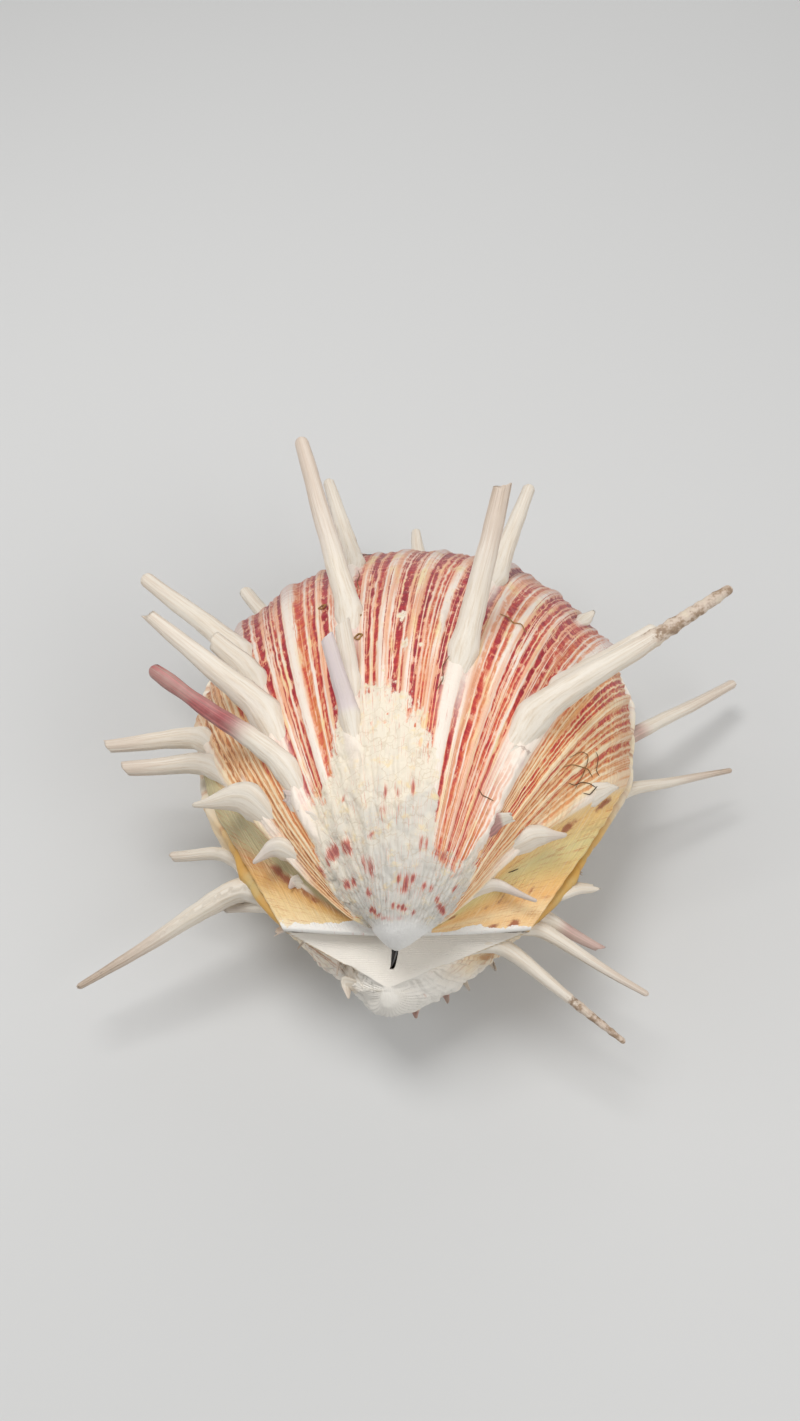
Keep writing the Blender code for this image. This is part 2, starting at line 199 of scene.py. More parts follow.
# Nodes of one procedural material, wired in a few words
class Shader:
    def __init__(self, name, roughness, specular=0.5, coat=0.0):
        self.material = bpy.data.materials.new(name)
        self.material.use_nodes = True
        self.tree = self.material.node_tree
        self.surface = self.tree.nodes["Principled BSDF"]
        self.surface.inputs["Roughness"].default_value = roughness
        self.surface.inputs["Specular IOR Level"].default_value = specular
        self.surface.inputs["Coat Weight"].default_value = coat
        self.surface.inputs["Coat Roughness"].default_value = 0.25

    def node(self, kind, settings, inputs):
        made = self.tree.nodes.new("ShaderNode" + kind)
        for key, value in settings.items():
            setattr(made, key, value)
        for key, value in inputs.items():
            if isinstance(value, bpy.types.NodeSocket):
                self.tree.links.new(value, made.inputs[key])
            else:
                made.inputs[key].default_value = value
        return made

    def number(self, operation, a, b=0.0):
        return self.node("Math", {"operation": operation}, {0: a, 1: b}).outputs[0]

    def times(self, a, b):
        return self.number("MULTIPLY", a, b)

    def plus(self, a, b):
        return self.number("ADD", a, b)

    def field(self, name):
        return self.node("Attribute", {"attribute_name": name}, {}).outputs["Fac"]

    def remap(self, value, low, high, start=0.0, end=1.0, smooth=True):
        way = "SMOOTHSTEP" if smooth else "LINEAR"
        inputs = {"Value": value, "From Min": low, "From Max": high, "To Min": start, "To Max": end}
        return self.node("MapRange", {"interpolation_type": way}, inputs).outputs["Result"]

    # A value moved up and down by a cloud, so that what it masks has a ragged edge
    def frayed(self, value, cloud, amount, low=0.3, high=0.7):
        return self.plus(value, self.remap(cloud, low, high, -amount, amount, False))

    def vector(self, x, y, z=0.0):
        return self.node("CombineXYZ", {}, {0: x, 1: y, 2: z}).outputs[0]

    def objectPoint(self):
        return self.node("TexCoord", {}, {}).outputs["Object"]

    def cloud(self, point, scale, detail=2.0, rough=0.5):
        inputs = {"Vector": point, "Scale": scale, "Detail": detail, "Roughness": rough}
        return self.node("TexNoise", {}, inputs).outputs["Fac"]

    def ramp(self, value, stops):
        made = self.node("ValToRGB", {}, {"Fac": value})
        elements = made.color_ramp.elements
        while len(elements) < len(stops):
            elements.new(0.5)
        for element, (place, colour) in zip(elements, sorted(stops, key=lambda stop: stop[0])):
            element.position = place
            element.color = colour
        return made.outputs["Color"]

    def blend(self, share, a, b, way="MIX"):
        settings = {"data_type": "RGBA", "blend_type": way}
        return self.node("Mix", settings, {0: share, 6: a, 7: b}).outputs[2]

    def bump(self, height, strength, distance, below=None):
        inputs = {"Height": height, "Strength": strength, "Distance": distance}
        if below is not None:
            inputs["Normal"] = below
        return self.node("Bump", {}, inputs).outputs["Normal"]

    def finish(self, colour, normal=None, roughness=None):
        self.tree.links.new(colour, self.surface.inputs["Base Color"])
        if normal is not None:
            self.tree.links.new(normal, self.surface.inputs["Normal"])
        if roughness is not None:
            self.tree.links.new(roughness, self.surface.inputs["Roughness"])
        return self.material


# A hex colour as the linear values that the nodes take
def tone(code):
    parts = [int(code[k : k + 2], 16) / 255 for k in (0, 2, 4)]
    linear = [p / 12.92 if p <= 0.04045 else ((p + 0.055) / 1.055) ** 2.4 for p in parts]
    return (*linear, 1.0)


def spots(rows, rib, growth):
    total = np.zeros_like(rib)
    for centre, age, ribReach, ageReach, weight in rows:
        near = ((rib - centre) / ribReach) ** 2 + ((growth - age) / ageReach) ** 2
        total = total + weight * np.exp(-near)
    return total


# Noise of the shell's own surface, read point by point
def surfaceNoise(points, scale, seed):
    flat = points.reshape(-1, 3)
    offset = Vector((seed * 17.3, seed * 5.1, seed * 9.7))
    values = [noise.fractal(Vector(p) * scale + offset, 1.0, 2.0, 2) for p in flat]
    return np.array(values).reshape(points.shape[:-1])


# The same, laid out along the growth lines
def grownNoise(rib, growth, across, along, seed):
    return surfaceNoise(np.stack((rib * across, growth * along, growth * 0), -1), 1.0, seed)


def plates(points, scale, seed):
    flat = points.reshape(-1, 3)
    offset = Vector((seed * 3.7, seed * 8.3, seed * 2.9))
    levels, edges = [], []
    for p in flat:
        distance, near = noise.voronoi(Vector(p) * scale + offset)
        levels.append(noise.noise(near[0] * 5.3))
        edges.append(distance[1] - distance[0])
    shape = points.shape[:-1]
    return np.array(levels).reshape(shape), np.array(edges).reshape(shape)


# A grid of points brought to its places, with its fields stored on the vertices
def grownGrid(bm, place, fields):
    across, along = place.shape[0] - 1, place.shape[1] - 1
    layers = {name: bm.verts.layers.float.get(name) or bm.verts.layers.float.new(name) for name in fields}
    made = bmesh.ops.create_grid(bm, x_segments=across, y_segments=along, size=0.5)["verts"]
    lookup = {}
    for vert in made:
        i = round((vert.co.x + 0.5) * across)
        j = round((vert.co.y + 0.5) * along)
        lookup[vert] = (i, j)
    for vert, (i, j) in lookup.items():
        vert.co = place[i, j]
        for name, layer in layers.items():
            vert[layer] = fields[name][i, j]
    return lookup


# Take an open border one step further; move gives the new place of each vertex
def stepBorder(bm, edges, move):
    made = bmesh.ops.extrude_edge_only(bm, edges=edges)["geom"]
    for item in made:
        if isinstance(item, bmesh.types.BMVert):
            item.co = move(item.co)
    return [item for item in made if isinstance(item, bmesh.types.BMEdge) and item.is_boundary]


# Join the first and the last lengthwise line of a tube
def closeTube(bm, placed, around):
    seam = [vert for vert, (i, _) in placed.items() if i in (0, around)]
    bmesh.ops.remove_doubles(bm, verts=seam, dist=weld)


def towardsMiddle(co, reach, level):
    arm = form["hollowCentre"] - co
    arm.z = 0
    inward = arm.normalized() * min(reach, arm.length)
    return Vector((co.x + inward.x, co.y + inward.y, level))


def addPiece(bm, name, material):
    mesh = bpy.data.meshes.new(name)
    bm.to_mesh(mesh)
    bm.free()
    mesh.transform(toRow)
    mesh.shade_smooth()
    mesh.materials.append(material)
    piece = bpy.data.objects.new(name, mesh)
    bpy.context.scene.collection.objects.link(piece)
    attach(piece, "root")
    return piece


# Columns of a valve: five on each stripe, and none further apart than the widest step
def ribColumns(stripes, low, high, step, flankStep):
    marks = {-90.0, 90.0, low, high}
    for centre, half, *_ in stripes:
        marks |= {centre - half - 0.12, centre + half + 0.12}
        marks |= {centre - half * 0.45, centre, centre + half * 0.45}
    marks = sorted(marks)
    columns = [marks[0]]
    for start, end in zip(marks, marks[1:]):
        if end - columns[-1] < 0.09:
            continue
        widest = step if low <= start < high else flankStep
        count = max(1, math.ceil((end - columns[-1]) / widest))
        base = columns[-1]
        columns += [base + (end - base) * k / count for k in range(1, count + 1)]
    columns[-1] = 90.0
    return np.array(columns)


def stripeMask(stripes, rib):
    total = np.zeros_like(rib)
    for centre, half, strength, _ in stripes:
        total = total + strength * np.exp(-(((rib - centre) / (half * 1.15)) ** 4))
    return np.clip(total, 0, 1)


# Spines: rib, growth at the root, heading from straight back towards +X, rise, length, foot and tip widths,
# then how the end looks, its flatness, and how much pink, brown and lilac it carries
upperSpines = {
    "tall_left": (-6, 0.64, -16, 19, 41.0, 4.9, 2.9, "round", 0.05, 0.08, 0.35, 0.0),
    "tall_left_rear": (-6, 0.87, -13, -3, 31.5, 4.4, 2.6, "round", 0.05, 0.0, 0.1, 0.0),
    "tall_right": (15, 0.52, 16, 31, 34.5, 4.8, 3.1, "cut", 0.1, 0.05, 0.5, 0.0),
    "tall_right_rear": (15, 0.79, 19, 3, 29.5, 5.0, 2.6, "round", 0.05, 0.0, 0.1, 0.0),
    "stub_inner": (-6, 0.48, -10, 30, 12.5, 3.2, 2.8, "cut", 0.1, 0.0, 0.0, 0.1),
    "stub_lilac": (-7, 0.42, -19, 35, 16.5, 3.2, 2.3, "cut", 0.12, 0.0, 0.0, 1.0),
    "shoulder_rear": (-26, 0.81, -44, -2, 33.5, 5.2, 3.2, "round", 0.05, 0.0, 0.15, 0.0),
    "shoulder_stub": (-25, 0.70, -43, 7, 14.5, 4.4, 3.0, "cut", 0.15, 0.0, 0.0, 0.0),
    "shoulder_long": (-25, 0.60, -51, 14, 33.5, 5.6, 2.2, "slant", 0.1, 0.0, 0.2, 0.0),
    "shoulder_pink": (-25, 0.48, -55, 12, 32.0, 4.4, 2.5, "knob", 0.05, 1.0, 0.1, 0.0),
    "side_rear": (-42, 0.93, -89, -8, 22.0, 4.4, 2.4, "cut", 0.1, 0.0, 0.3, 0.0),
    "side_front": (-44, 0.87, -86, -8, 20.0, 4.2, 2.6, "cut", 0.1, 0.0, 0.3, 0.0),
    "side_leaf": (-39, 0.63, -88, -8, 11.5, 5.6, 0.8, "point", 0.3, 0.0, 0.0, 0.0),
    "side_thorn": (-41, 0.53, -110, -18, 6.0, 4.0, 0.8, "point", 0.2, 0.1, 0.0, 0.2),
    "right_long": (31, 0.50, 62, 18, 44.0, 5.6, 1.8, "crust", 0.1, 0.0, 0.3, 0.0),
    "right_twin": (33, 0.62, 54, 5, 23.5, 5.0, 2.4, "point", 0.1, 0.0, 0.0, 0.0),
    "right_chip": (28, 0.93, 44, -8, 4.5, 2.4, 1.2, "slant", 0.2, 0.0, 0.0, 0.0),
    "outer_scale": (53, 0.81, 64, 3, 6.0, 3.4, 1.4, "slant", 0.4, 0.0, 0.0, 0.0),
    "outer_thorn": (52, 0.48, 79, -4, 7.5, 4.4, 0.9, "point", 0.2, 0.1, 0.0, 0.0),
    "outer_hook": (57, 0.36, 101, -18, 9.5, 2.7, 0.7, "point", 0.15, 0.15, 0.0, 0.2),
}
lowerSpines = {
    "left_floor": (-56, 0.88, -77, -18, 14.5, 3.0, 2.2, "cut", 0.1, 0.0, 0.2, 0.0),
    "left_long": (-64, 0.86, -113, -18, 39.0, 5.6, 1.4, "point", 0.1, 0.0, 0.62, 0.0),
    "left_hidden": (-64, 0.76, -78, -25, 13.0, 3.4, 1.6, "slant", 0.1, 0.1, 0.1, 0.0),
    "right_upper": (42, 0.90, 53, -8, 39.5, 3.8, 2.2, "round", 0.05, -0.5, 0.3, 0.0),
    "right_middle": (50, 0.90, 67, -12, 30.5, 3.6, 1.3, "point", 0.1, 0.0, 0.6, 0.0),
    "ear_slim": (81, 0.84, 114, -18, 26.0, 3.4, 1.3, "point", 0.1, 0.0, 0.35, 0.0),
    "ear_flaking": (78, 0.58, 121, -20, 31.0, 4.2, 1.3, "crust", 0.15, 0.0, 0.35, 0.0),
    "ear_hidden": (74, 0.78, 102, -28, 17.5, 3.8, 1.6, "slant", 0.1, 0.6, 0.1, 0.0),
    "ear_stub": (71, 0.90, 75, -12, 9.0, 4.2, 2.4, "slant", 0.35, 0.0, 0.0, 0.0),
    "rear_thorn": (3, 0.94, -3, 14, 17.0, 5.8, 2.0, "round", 0.1, 0.0, 0.1, 0.0),
    "rear_left": (-19, 0.94, -32, 3, 16.5, 4.4, 3.0, "round", 0.1, 0.0, 0.1, 0.0),
    "under_left": (-36, 0.72, -48, -16, 12.0, 3.4, 1.2, "slant", 0.2, 0.1, 0.1, 0.0),
    "under_rear": (3, 0.80, 4, -8, 11.0, 3.4, 1.4, "slant", 0.2, 0.1, 0.1, 0.0),
    "under_right": (22, 0.76, 28, -9, 12.0, 3.4, 1.2, "slant", 0.2, 0.1, 0.1, 0.0),
}
# Sizes in feet of the spine where they scale with it; the ends are rings by width and place in tip radii
spineForm = {
    "around": 24,
    "step": 0.65,
    "lead": 3.0,
    "taper": 1.5,
    "leave": 0.9,
    "ride": -0.04,
    "passes": 26,
    "wobble": 0.35,
    "striae": 0.035,
    "jag": 0.3,
    "ends": {
        "broken": ((0.82, -0.05), (0.6, -0.22), (0.3, -0.28)),
        "point": ((0.75, 0.5), (0.4, 0.9)),
        "round": ((0.93, 0.3), (0.75, 0.62), (0.42, 0.88)),
    },
}
brokenLooks = ("slant", "cut")

# Broken scales on the ribs, written as short spines
upperScales = {
    "scale_pink": (34.5, 0.305, 72, 8, 4.6, 2.6, 1.3, "cut", 0.6, -0.8, 0.0, 0.0),
    "scale_side": (32.0, 0.42, 60, 20, 3.0, 2.4, 1.4, "cut", 0.6, 0.25, 0.0, 0.0),
    "scale_left": (-26.4, 0.425, -66, 14, 3.4, 2.4, 1.4, "cut", 0.6, 0.2, 0.1, 0.5),
    "scale_nick": (-25.5, 0.375, -66, 14, 2.8, 2.2, 1.0, "cut", 0.6, 0.1, 0.1, 0.5),
    "scale_ear": (-60.5, 0.655, -120, -10, 1.8, 2.0, 0.6, "point", 0.6, 0.2, 0.0, 0.3),
}
lowerScales = {
    "beak_a": (-71, 0.68, -105, -14, 5.0, 3.4, 2.0, "cut", 0.6, 0.1, 0.45, 0.0),
    "beak_b": (-64, 0.55, -128, -14, 5.6, 3.8, 0.8, "point", 0.6, 0.1, 0.6, 0.0),
    "beak_c": (-62, 0.39, -160, -12, 5.0, 3.8, 0.6, "point", 0.6, 0.1, 0.5, 0.0),
    "beak_d": (-39, 0.22, -178, -8, 2.6, 3.0, 0.5, "point", 0.6, 0.1, 0.0, 0.0),
    "beak_e": (28, 0.12, 168, -8, 1.7, 1.8, 0.5, "point", 0.5, 0.8, 0.2, 0.0),
    "beak_f": (41, 0.19, 155, -6, 2.4, 2.4, 0.7, "point", 0.5, 0.7, 0.3, 0.0),
    "beak_g": (46, 0.25, 140, -4, 3.0, 2.8, 0.8, "point", 0.6, 0.1, 0.0, 0.0),
    "beak_h": (50, 0.34, 130, -4, 3.6, 3.4, 1.6, "cut", 0.6, 0.1, 0.2, 0.0),
    "beak_i": (51, 0.42, 120, -6, 2.6, 2.8, 1.2, "cut", 0.6, 0.3, 0.4, 0.0),
    "rim_flake": (60, 0.80, 95, -4, 3.0, 3.0, 1.4, "cut", 0.6, 0.0, 0.7, 0.0),
}


def surfacePoint(surface, rib, growth):
    return surface(np.array([float(rib)]), np.array([float(growth)]))[0]


# How far the surface moves for each unit of growth, on one rib
def growthSpeed(surface, rib, growth):
    step = 0.01
    gone = surfacePoint(surface, rib, growth) - surfacePoint(surface, rib, growth - step)
    return np.linalg.norm(gone) / step


def rootFrame(surface, sign, rib, growth):
    root = surfacePoint(surface, rib, growth)
    along = unit(surfacePoint(surface, rib, growth + 0.002) - surfacePoint(surface, rib, growth - 0.002))
    normal = outward(surface, sign, np.array([float(rib)]), np.array([float(growth)]))[0]
    return root, along, normal


# Upper valve: main ribs by angle, height and half width, and coloured stripes sunk between pale riblets
# A stripe is its angle, half width, strength and hue, from 0 crimson over red and orange to 1 brown
upperValve = {
    "ribs": (
        (-42, 1.3, 2.6), (-25.4, 1.5, 2.3), (-17, 0.8, 1.5), (-11.7, 0.3, 0.6), (-6.6, 1.2, 2.1),
        (-3.4, 0.25, 0.5), (0.5, 0.35, 1.2), (5.4, 0.4, 0.7), (10.2, 0.35, 0.6), (14.6, 1.2, 2.1),
        (17.6, 0.35, 0.6), (22.1, 0.5, 0.9), (26.3, 0.3, 0.5), (33, 1.5, 2.2), (40.9, 0.45, 0.9),
        (45.9, 0.3, 0.7), (52.6, 1.2, 2.3),
    ),
    "stripes": (
        (-47.5, 0.5, 0.35, 0.9), (-45.6, 0.4, 0.3, 0.9), (-40.6, 0.35, 0.5, 0.9), (-39.2, 0.45, 0.75, 0.85),
        (-37.6, 0.4, 0.65, 0.8), (-36.2, 0.45, 0.85, 0.65), (-34.6, 0.4, 0.6, 0.85), (-33.2, 0.4, 0.75, 0.7),
        (-31.6, 0.35, 0.5, 0.9), (-30.0, 0.4, 0.85, 0.4), (-28.8, 0.35, 0.75, 0.45),
        (-24.2, 0.45, 0.85, 0.15), (-22.6, 0.6, 1.0, 0.1), (-20.6, 0.33, 1.0, 0.05), (-19.6, 0.2, 0.8, 0.15),
        (-18.35, 0.36, 1.0, 0.05), (-15.05, 0.72, 1.0, 0.35), (-13.4, 0.25, 0.8, 0.2),
        (-12.6, 0.33, 0.95, 0.1),
        (-10.5, 0.55, 1.0, 0.05), (-9.4, 0.2, 0.5, 0.3), (-4.7, 0.68, 1.0, 0.25), (-2.35, 0.45, 1.0, 0.05),
        (-0.9, 0.52, 1.0, 0.15), (1.5, 0.15, 0.35, 0.7), (2.25, 0.33, 0.8, 0.1), (3.35, 0.62, 1.0, 0.05),
        (4.55, 0.17, 0.7, 0.1), (6.9, 0.6, 1.0, 0.05), (8.2, 0.2, 0.8, 0.25), (9.15, 0.34, 0.95, 0.25),
        (11.85, 1.0, 1.0, 0.05), (16.45, 0.55, 1.0, 0.0), (18.6, 0.35, 0.45, 0.6), (19.85, 0.62, 0.95, 0.15),
        (21.2, 0.22, 0.7, 0.4), (23.2, 0.2, 0.9, 0.1), (23.7, 0.2, 0.9, 0.15), (24.95, 0.36, 0.95, 0.2),
        (25.65, 0.17, 0.8, 0.2), (27.3, 0.42, 1.0, 0.1), (28.6, 0.8, 0.8, 0.2),
        (30.4, 0.4, 0.95, 0.3), (31.3, 0.26, 0.75, 0.4), (32.2, 0.2, 0.5, 0.5), (34.9, 0.2, 0.5, 0.55),
        (35.7, 0.24, 0.7, 0.45),
        (36.5, 0.24, 0.75, 0.45), (37.3, 0.22, 0.7, 0.5), (38.2, 0.3, 0.95, 0.2), (39.1, 0.26, 0.95, 0.3),
        (39.9, 0.26, 0.85, 0.25), (42.1, 0.42, 0.9, 0.3), (43.3, 0.28, 0.75, 0.45), (44.2, 0.28, 0.85, 0.35),
        (45.1, 0.26, 0.75, 0.4), (47.1, 0.5, 0.85, 0.35), (48.4, 0.3, 0.75, 0.45), (49.5, 0.3, 0.55, 0.55),
        (50.7, 0.28, 0.5, 0.5), (56.5, 0.5, 0.3, 0.8), (60.0, 0.6, 0.25, 0.8),
    ),
    "grooveDepth": 0.34,
    # Where the stripes end towards the beak: rib and growth
    "wornFrom": (
        (-90, 0.12), (-50, 0.2), (-40, 0.26), (-33, 0.33), (-27, 0.37), (-24, 0.385), (-20, 0.375),
        (-15, 0.38), (-12, 0.42), (-9, 0.45), (-5, 0.455), (0, 0.45), (4, 0.43), (8, 0.40), (11, 0.37),
        (13.5, 0.34), (15, 0.30), (18, 0.22), (24, 0.2), (30, 0.2), (33, 0.27), (36, 0.28), (45, 0.2),
        (60, 0.12), (90, 0.08),
    ),
    # Chalky chips outside the worn middle: rib, growth, reach across, reach along, weight
    "chips": (
        (3.4, 0.59, 1.5, 0.025, 1.0), (4.9, 0.52, 1.2, 0.03, 1.0), (7.4, 0.515, 0.6, 0.012, 0.8),
        (12.6, 0.45, 1.4, 0.02, 1.0), (13.4, 0.49, 1.2, 0.02, 0.6), (31.0, 0.43, 2.0, 0.02, 1.0),
        (9.0, 0.47, 1.0, 0.02, 0.7), (-0.5, 0.48, 1.5, 0.015, 0.5), (2.2, 0.65, 0.8, 0.02, 0.4),
    ),
    # Crimson blotches near the beak, in the same terms
    "blotches": (
        (-26, 0.30, 1.6, 0.010, 0.8), (-23.5, 0.29, 1.4, 0.012, 0.9), (-21.5, 0.28, 1.2, 0.012, 1.0),
        (-18, 0.265, 1.2, 0.012, 0.9), (-16, 0.255, 1.0, 0.014, 1.0), (-25, 0.235, 1.3, 0.008, 0.9),
        (-23.5, 0.226, 1.0, 0.008, 1.0), (-20.5, 0.215, 1.4, 0.008, 1.0), (-11.5, 0.215, 1.6, 0.014, 0.6),
        (-8.5, 0.20, 2.2, 0.016, 0.8), (-5, 0.24, 1.6, 0.004, 0.8), (-14, 0.175, 1.6, 0.007, 0.8),
        (-12, 0.168, 1.2, 0.005, 0.8), (-14.5, 0.145, 2.4, 0.005, 1.2), (-11.5, 0.137, 2.0, 0.005, 1.2),
        (-8, 0.127, 3.0, 0.003, 1.0), (-3, 0.121, 3.5, 0.0025, 0.9), (1, 0.117, 2.5, 0.0025, 0.8),
        (5.5, 0.17, 1.0, 0.006, 1.1), (9, 0.166, 1.2, 0.009, 1.1), (11.8, 0.17, 1.0, 0.006, 1.1),
        (8, 0.155, 2.6, 0.006, 0.7), (3.4, 0.136, 1.0, 0.004, 1.2), (6.4, 0.133, 1.0, 0.004, 1.1),
        (9.0, 0.131, 1.2, 0.005, 1.2), (11, 0.128, 1.0, 0.003, 0.9), (8, 0.117, 3.0, 0.003, 0.7),
        (16, 0.125, 1.4, 0.004, 1.1), (17.5, 0.163, 1.2, 0.005, 0.9), (21.5, 0.162, 1.4, 0.006, 0.8),
        (27, 0.153, 1.6, 0.005, 0.9), (30, 0.148, 1.6, 0.005, 0.8), (33, 0.147, 2.0, 0.006, 1.0),
        (37, 0.148, 2.4, 0.006, 1.0), (13, 0.215, 0.7, 0.012, 0.8), (15, 0.215, 0.6, 0.010, 0.7),
        (19, 0.21, 0.8, 0.010, 0.7), (22, 0.208, 1.0, 0.009, 0.8), (34, 0.185, 1.3, 0.008, 0.9),
        (-13, 0.32, 0.8, 0.006, 0.7), (1.5, 0.285, 0.7, 0.008, 0.7), (5, 0.28, 0.6, 0.008, 0.7),
        (9.2, 0.285, 0.7, 0.012, 0.9), (0.5, 0.262, 1.6, 0.012, 0.5), (-32.5, 0.335, 1.2, 0.02, 0.8),
    ),
    # Red dashes left standing in the worn middle
    "dashes": (
        (10.5, 0.412, 0.8, 0.010, 1.0), (10.3, 0.372, 0.8, 0.007, 1.0), (10.0, 0.345, 0.7, 0.010, 0.8),
        (6.3, 0.40, 0.25, 0.018, 1.0), (6.0, 0.355, 0.25, 0.006, 0.8), (8.3, 0.372, 0.35, 0.004, 0.9),
        (-5.4, 0.405, 0.9, 0.003, 1.0), (-1.5, 0.39, 0.35, 0.004, 1.0), (1.6, 0.385, 0.9, 0.003, 0.8),
        (2.2, 0.397, 0.5, 0.003, 0.8), (-4.0, 0.346, 0.4, 0.002, 1.0), (-11.7, 0.41, 0.5, 0.012, 1.1),
        (-12.0, 0.39, 0.5, 0.006, 0.9), (15.5, 0.41, 0.8, 0.012, 1.0), (-9.7, 0.415, 0.3, 0.008, 0.5),
    ),
    # Ragged ledges left by broken scales: rib, half width, growth from and to, height
    "ledges": ((33.2, 1.6, 0.27, 0.345, 0.9), (32.2, 1.3, 0.36, 0.44, 0.8), (-26.0, 1.6, 0.35, 0.44, 0.7)),
    "rosy": (
        (36.0, 0.305, 2.2, 0.02, 1.0), (34.0, 0.29, 1.6, 0.02, 0.6), (33.2, 0.42, 1.2, 0.02, 0.8),
        (-28, 0.42, 1.4, 0.02, 0.6), (-27, 0.385, 1.2, 0.015, 0.5), (56, 0.345, 4.0, 0.03, 0.4),
    ),
    # Brown and red patches of the flanks and the ears
    "stains": (
        (57.5, 0.75, 1.6, 0.05, 1.0), (55.5, 0.92, 1.1, 0.04, 1.1), (87, 0.83, 2.4, 0.05, 0.9),
        (87, 0.68, 2.2, 0.05, 0.9), (73.5, 0.50, 2.0, 0.14, 0.55), (67, 0.25, 3.0, 0.05, 0.8),
        (80, 0.35, 6.0, 0.02, 0.8), (70, 0.60, 3.0, 0.015, 0.6), (74, 0.80, 4.0, 0.02, 0.5),
        (61, 0.55, 0.7, 0.05, 0.5), (-63, 0.76, 4.5, 0.06, 0.9), (-66, 0.62, 4.0, 0.07, 0.7),
        (-85, 0.78, 1.4, 0.05, 0.6), (-56, 0.44, 6.0, 0.05, 0.4), (81, 0.62, 2.0, 0.1, 0.4),
    ),
    # Edge of the bare strip along the hinge on each side: growth and rib
    "stripLeft": ((0.35, 64), (0.42, 71), (0.5, 79), (0.6, 82), (0.8, 86), (1, 88)),
    "stripRight": (
        (0.15, 60), (0.2, 88), (0.33, 89), (0.37, 87), (0.45, 84), (0.57, 84.5), (0.62, 88), (1, 89.5),
    ),
    "rows": 226,
}


# The rib swells towards each spine and falls away behind it
def buttresses(rows, surface, rib, growth):
    total, bare = np.zeros_like(rib), np.zeros_like(rib)
    for row in rows:
        centre, age, length, foot = row[0], row[1], row[4], row[5]
        line = surface(np.full_like(growth, centre), growth)
        beside = surface(np.full_like(growth, centre + 1.0), growth)
        perDegree = np.linalg.norm(beside - line, axis=-1)
        across = (rib - centre) * perDegree
        ahead = (growth - age) * growthSpeed(surface, centre, age)
        reach = min(max(3.4 * foot, 8.0), 1.2 * length + 1.5)
        rise = smoothStep(ahead, -reach, -0.8 * foot) * (1 - smoothStep(ahead, -0.6 * foot, 0.35 * foot))
        width = foot * (0.28 + 0.10 * rise)
        total = np.maximum(total, 0.13 * foot * rise * np.exp(-((across / width) ** 2)))
        long = smoothStep(ahead, -1.4 * reach, -0.2 * reach) * (1 - smoothStep(ahead, 0.4 * foot, 1.0 * foot))
        bare = np.maximum(bare, long * (1 - smoothStep(np.abs(across), 0.30 * foot, 0.62 * foot)))
    return total, bare


def upperRelief(rib, growth, points, swelling):
    young = 0.2 + 0.8 * growth
    relief = ridges(upperValve["ribs"], rib) * young * smoothStep(growth, 0.08, 0.3)
    relief = np.hypot(relief, swelling)
    worn = wornShare(rib, growth)
    grooves = stripeMask(upperValve["stripes"], rib) * upperValve["grooveDepth"] * young
    grooves = grooves * (1 - 0.85 * smoothStep(worn, 0.4, 0.7)) * smoothStep(growth, 0.1, 0.25)
    relief = relief * (1 - 0.25 * smoothStep(worn, 0.3, 0.8)) - grooves
    level, edge = plates(points, 0.30, 3)
    fine, fineEdge = plates(points, 0.75, 8)
    chalk = smoothStep(worn + 0.25 * level, 0.46, 0.56) * smoothStep(growth, 0.09, 0.14)
    flakes = (0.24 + 0.18 * smoothStep(growth, 0.2, 0.34)) * level + 0.2 * fine
    flakes = flakes - 0.22 * (1 - smoothStep(edge, 0, 0.12)) - 0.1 * (1 - smoothStep(fineEdge, 0, 0.15))
    relief = relief + chalk * (flakes - 0.12)
    ragged = grownNoise(rib, growth, 0.5, 80, 21)
    for centre, half, start, end, height in upperValve["ledges"]:
        broken = smoothStep(growth + 0.012 * ragged, end - 0.006, end + 0.006)
        window = smoothStep(growth, start - 0.01, start + 0.02) * (1 - broken)
        relief = relief + height * (0.75 + 0.6 * ragged) * window * np.exp(-(((rib - centre) / half) ** 4))
    rings = grownNoise(rib, growth, 0.02, 60, 4)
    beads = grownNoise(rib, growth, 0.35, 95, 9)
    relief = relief + (0.12 * rings + 0.09 * beads) * smoothStep(growth, 0.3, 0.6)
    relief = relief + 0.12 * surfaceNoise(points, 0.22, 6)
    nearBeak = smoothStep(growth, 0.08, 0.13) * (1 - smoothStep(growth, 0.2, 0.28))
    riblets = 0.07 * np.sin(rib * 2.6 + 2 * surfaceNoise(points, 0.3, 31)) * nearBeak
    fringe = 0.16 * np.cos(rib * 3.4) * smoothStep(growth, 0.8, 1.0) * smoothStep(np.abs(rib), 24, 34)
    return relief + riblets + fringe


def wornShare(rib, growth):
    places, ages = zip(*upperValve["wornFrom"])
    limit = np.interp(rib, places, ages)
    chips = np.clip(spots(upperValve["chips"], rib, growth), 0, 1)
    return np.maximum(np.clip(0.5 + (limit - growth) / 0.16, 0, 1), 0.62 * chips)


# White strip of bare shell along the hinge, wider towards the beak
def hingeStrip(rib, growth):
    left, right = (np.interp(growth, *zip(*upperValve[side])) for side in ("stripLeft", "stripRight"))
    return np.where(rib < 0, 0.5 + (-rib - left) / 8, 0.5 + (rib - right) / 5)


def upperFields(rib, growth):
    return {
        "rib": rib,
        "growth": growth,
        "worn": wornShare(rib, growth),
        "blotch": spots(upperValve["blotches"], rib, growth),
        "dash": spots(upperValve["dashes"], rib, growth),
        "flank": np.where(rib < 0, smoothStep(-rib, 26, 29), smoothStep(rib, 33, 37)),
        "ear": np.where(rib < 0, smoothStep(-rib, 44, 50), smoothStep(rib, 52, 56)),
        "strip": hingeStrip(rib, growth),
        "stain": spots(upperValve["stains"], rib, growth),
        "rosy": spots(upperValve["rosy"], rib, growth),
        "crest": np.clip(ridges(upperValve["ribs"], rib), 0, 1),
    }


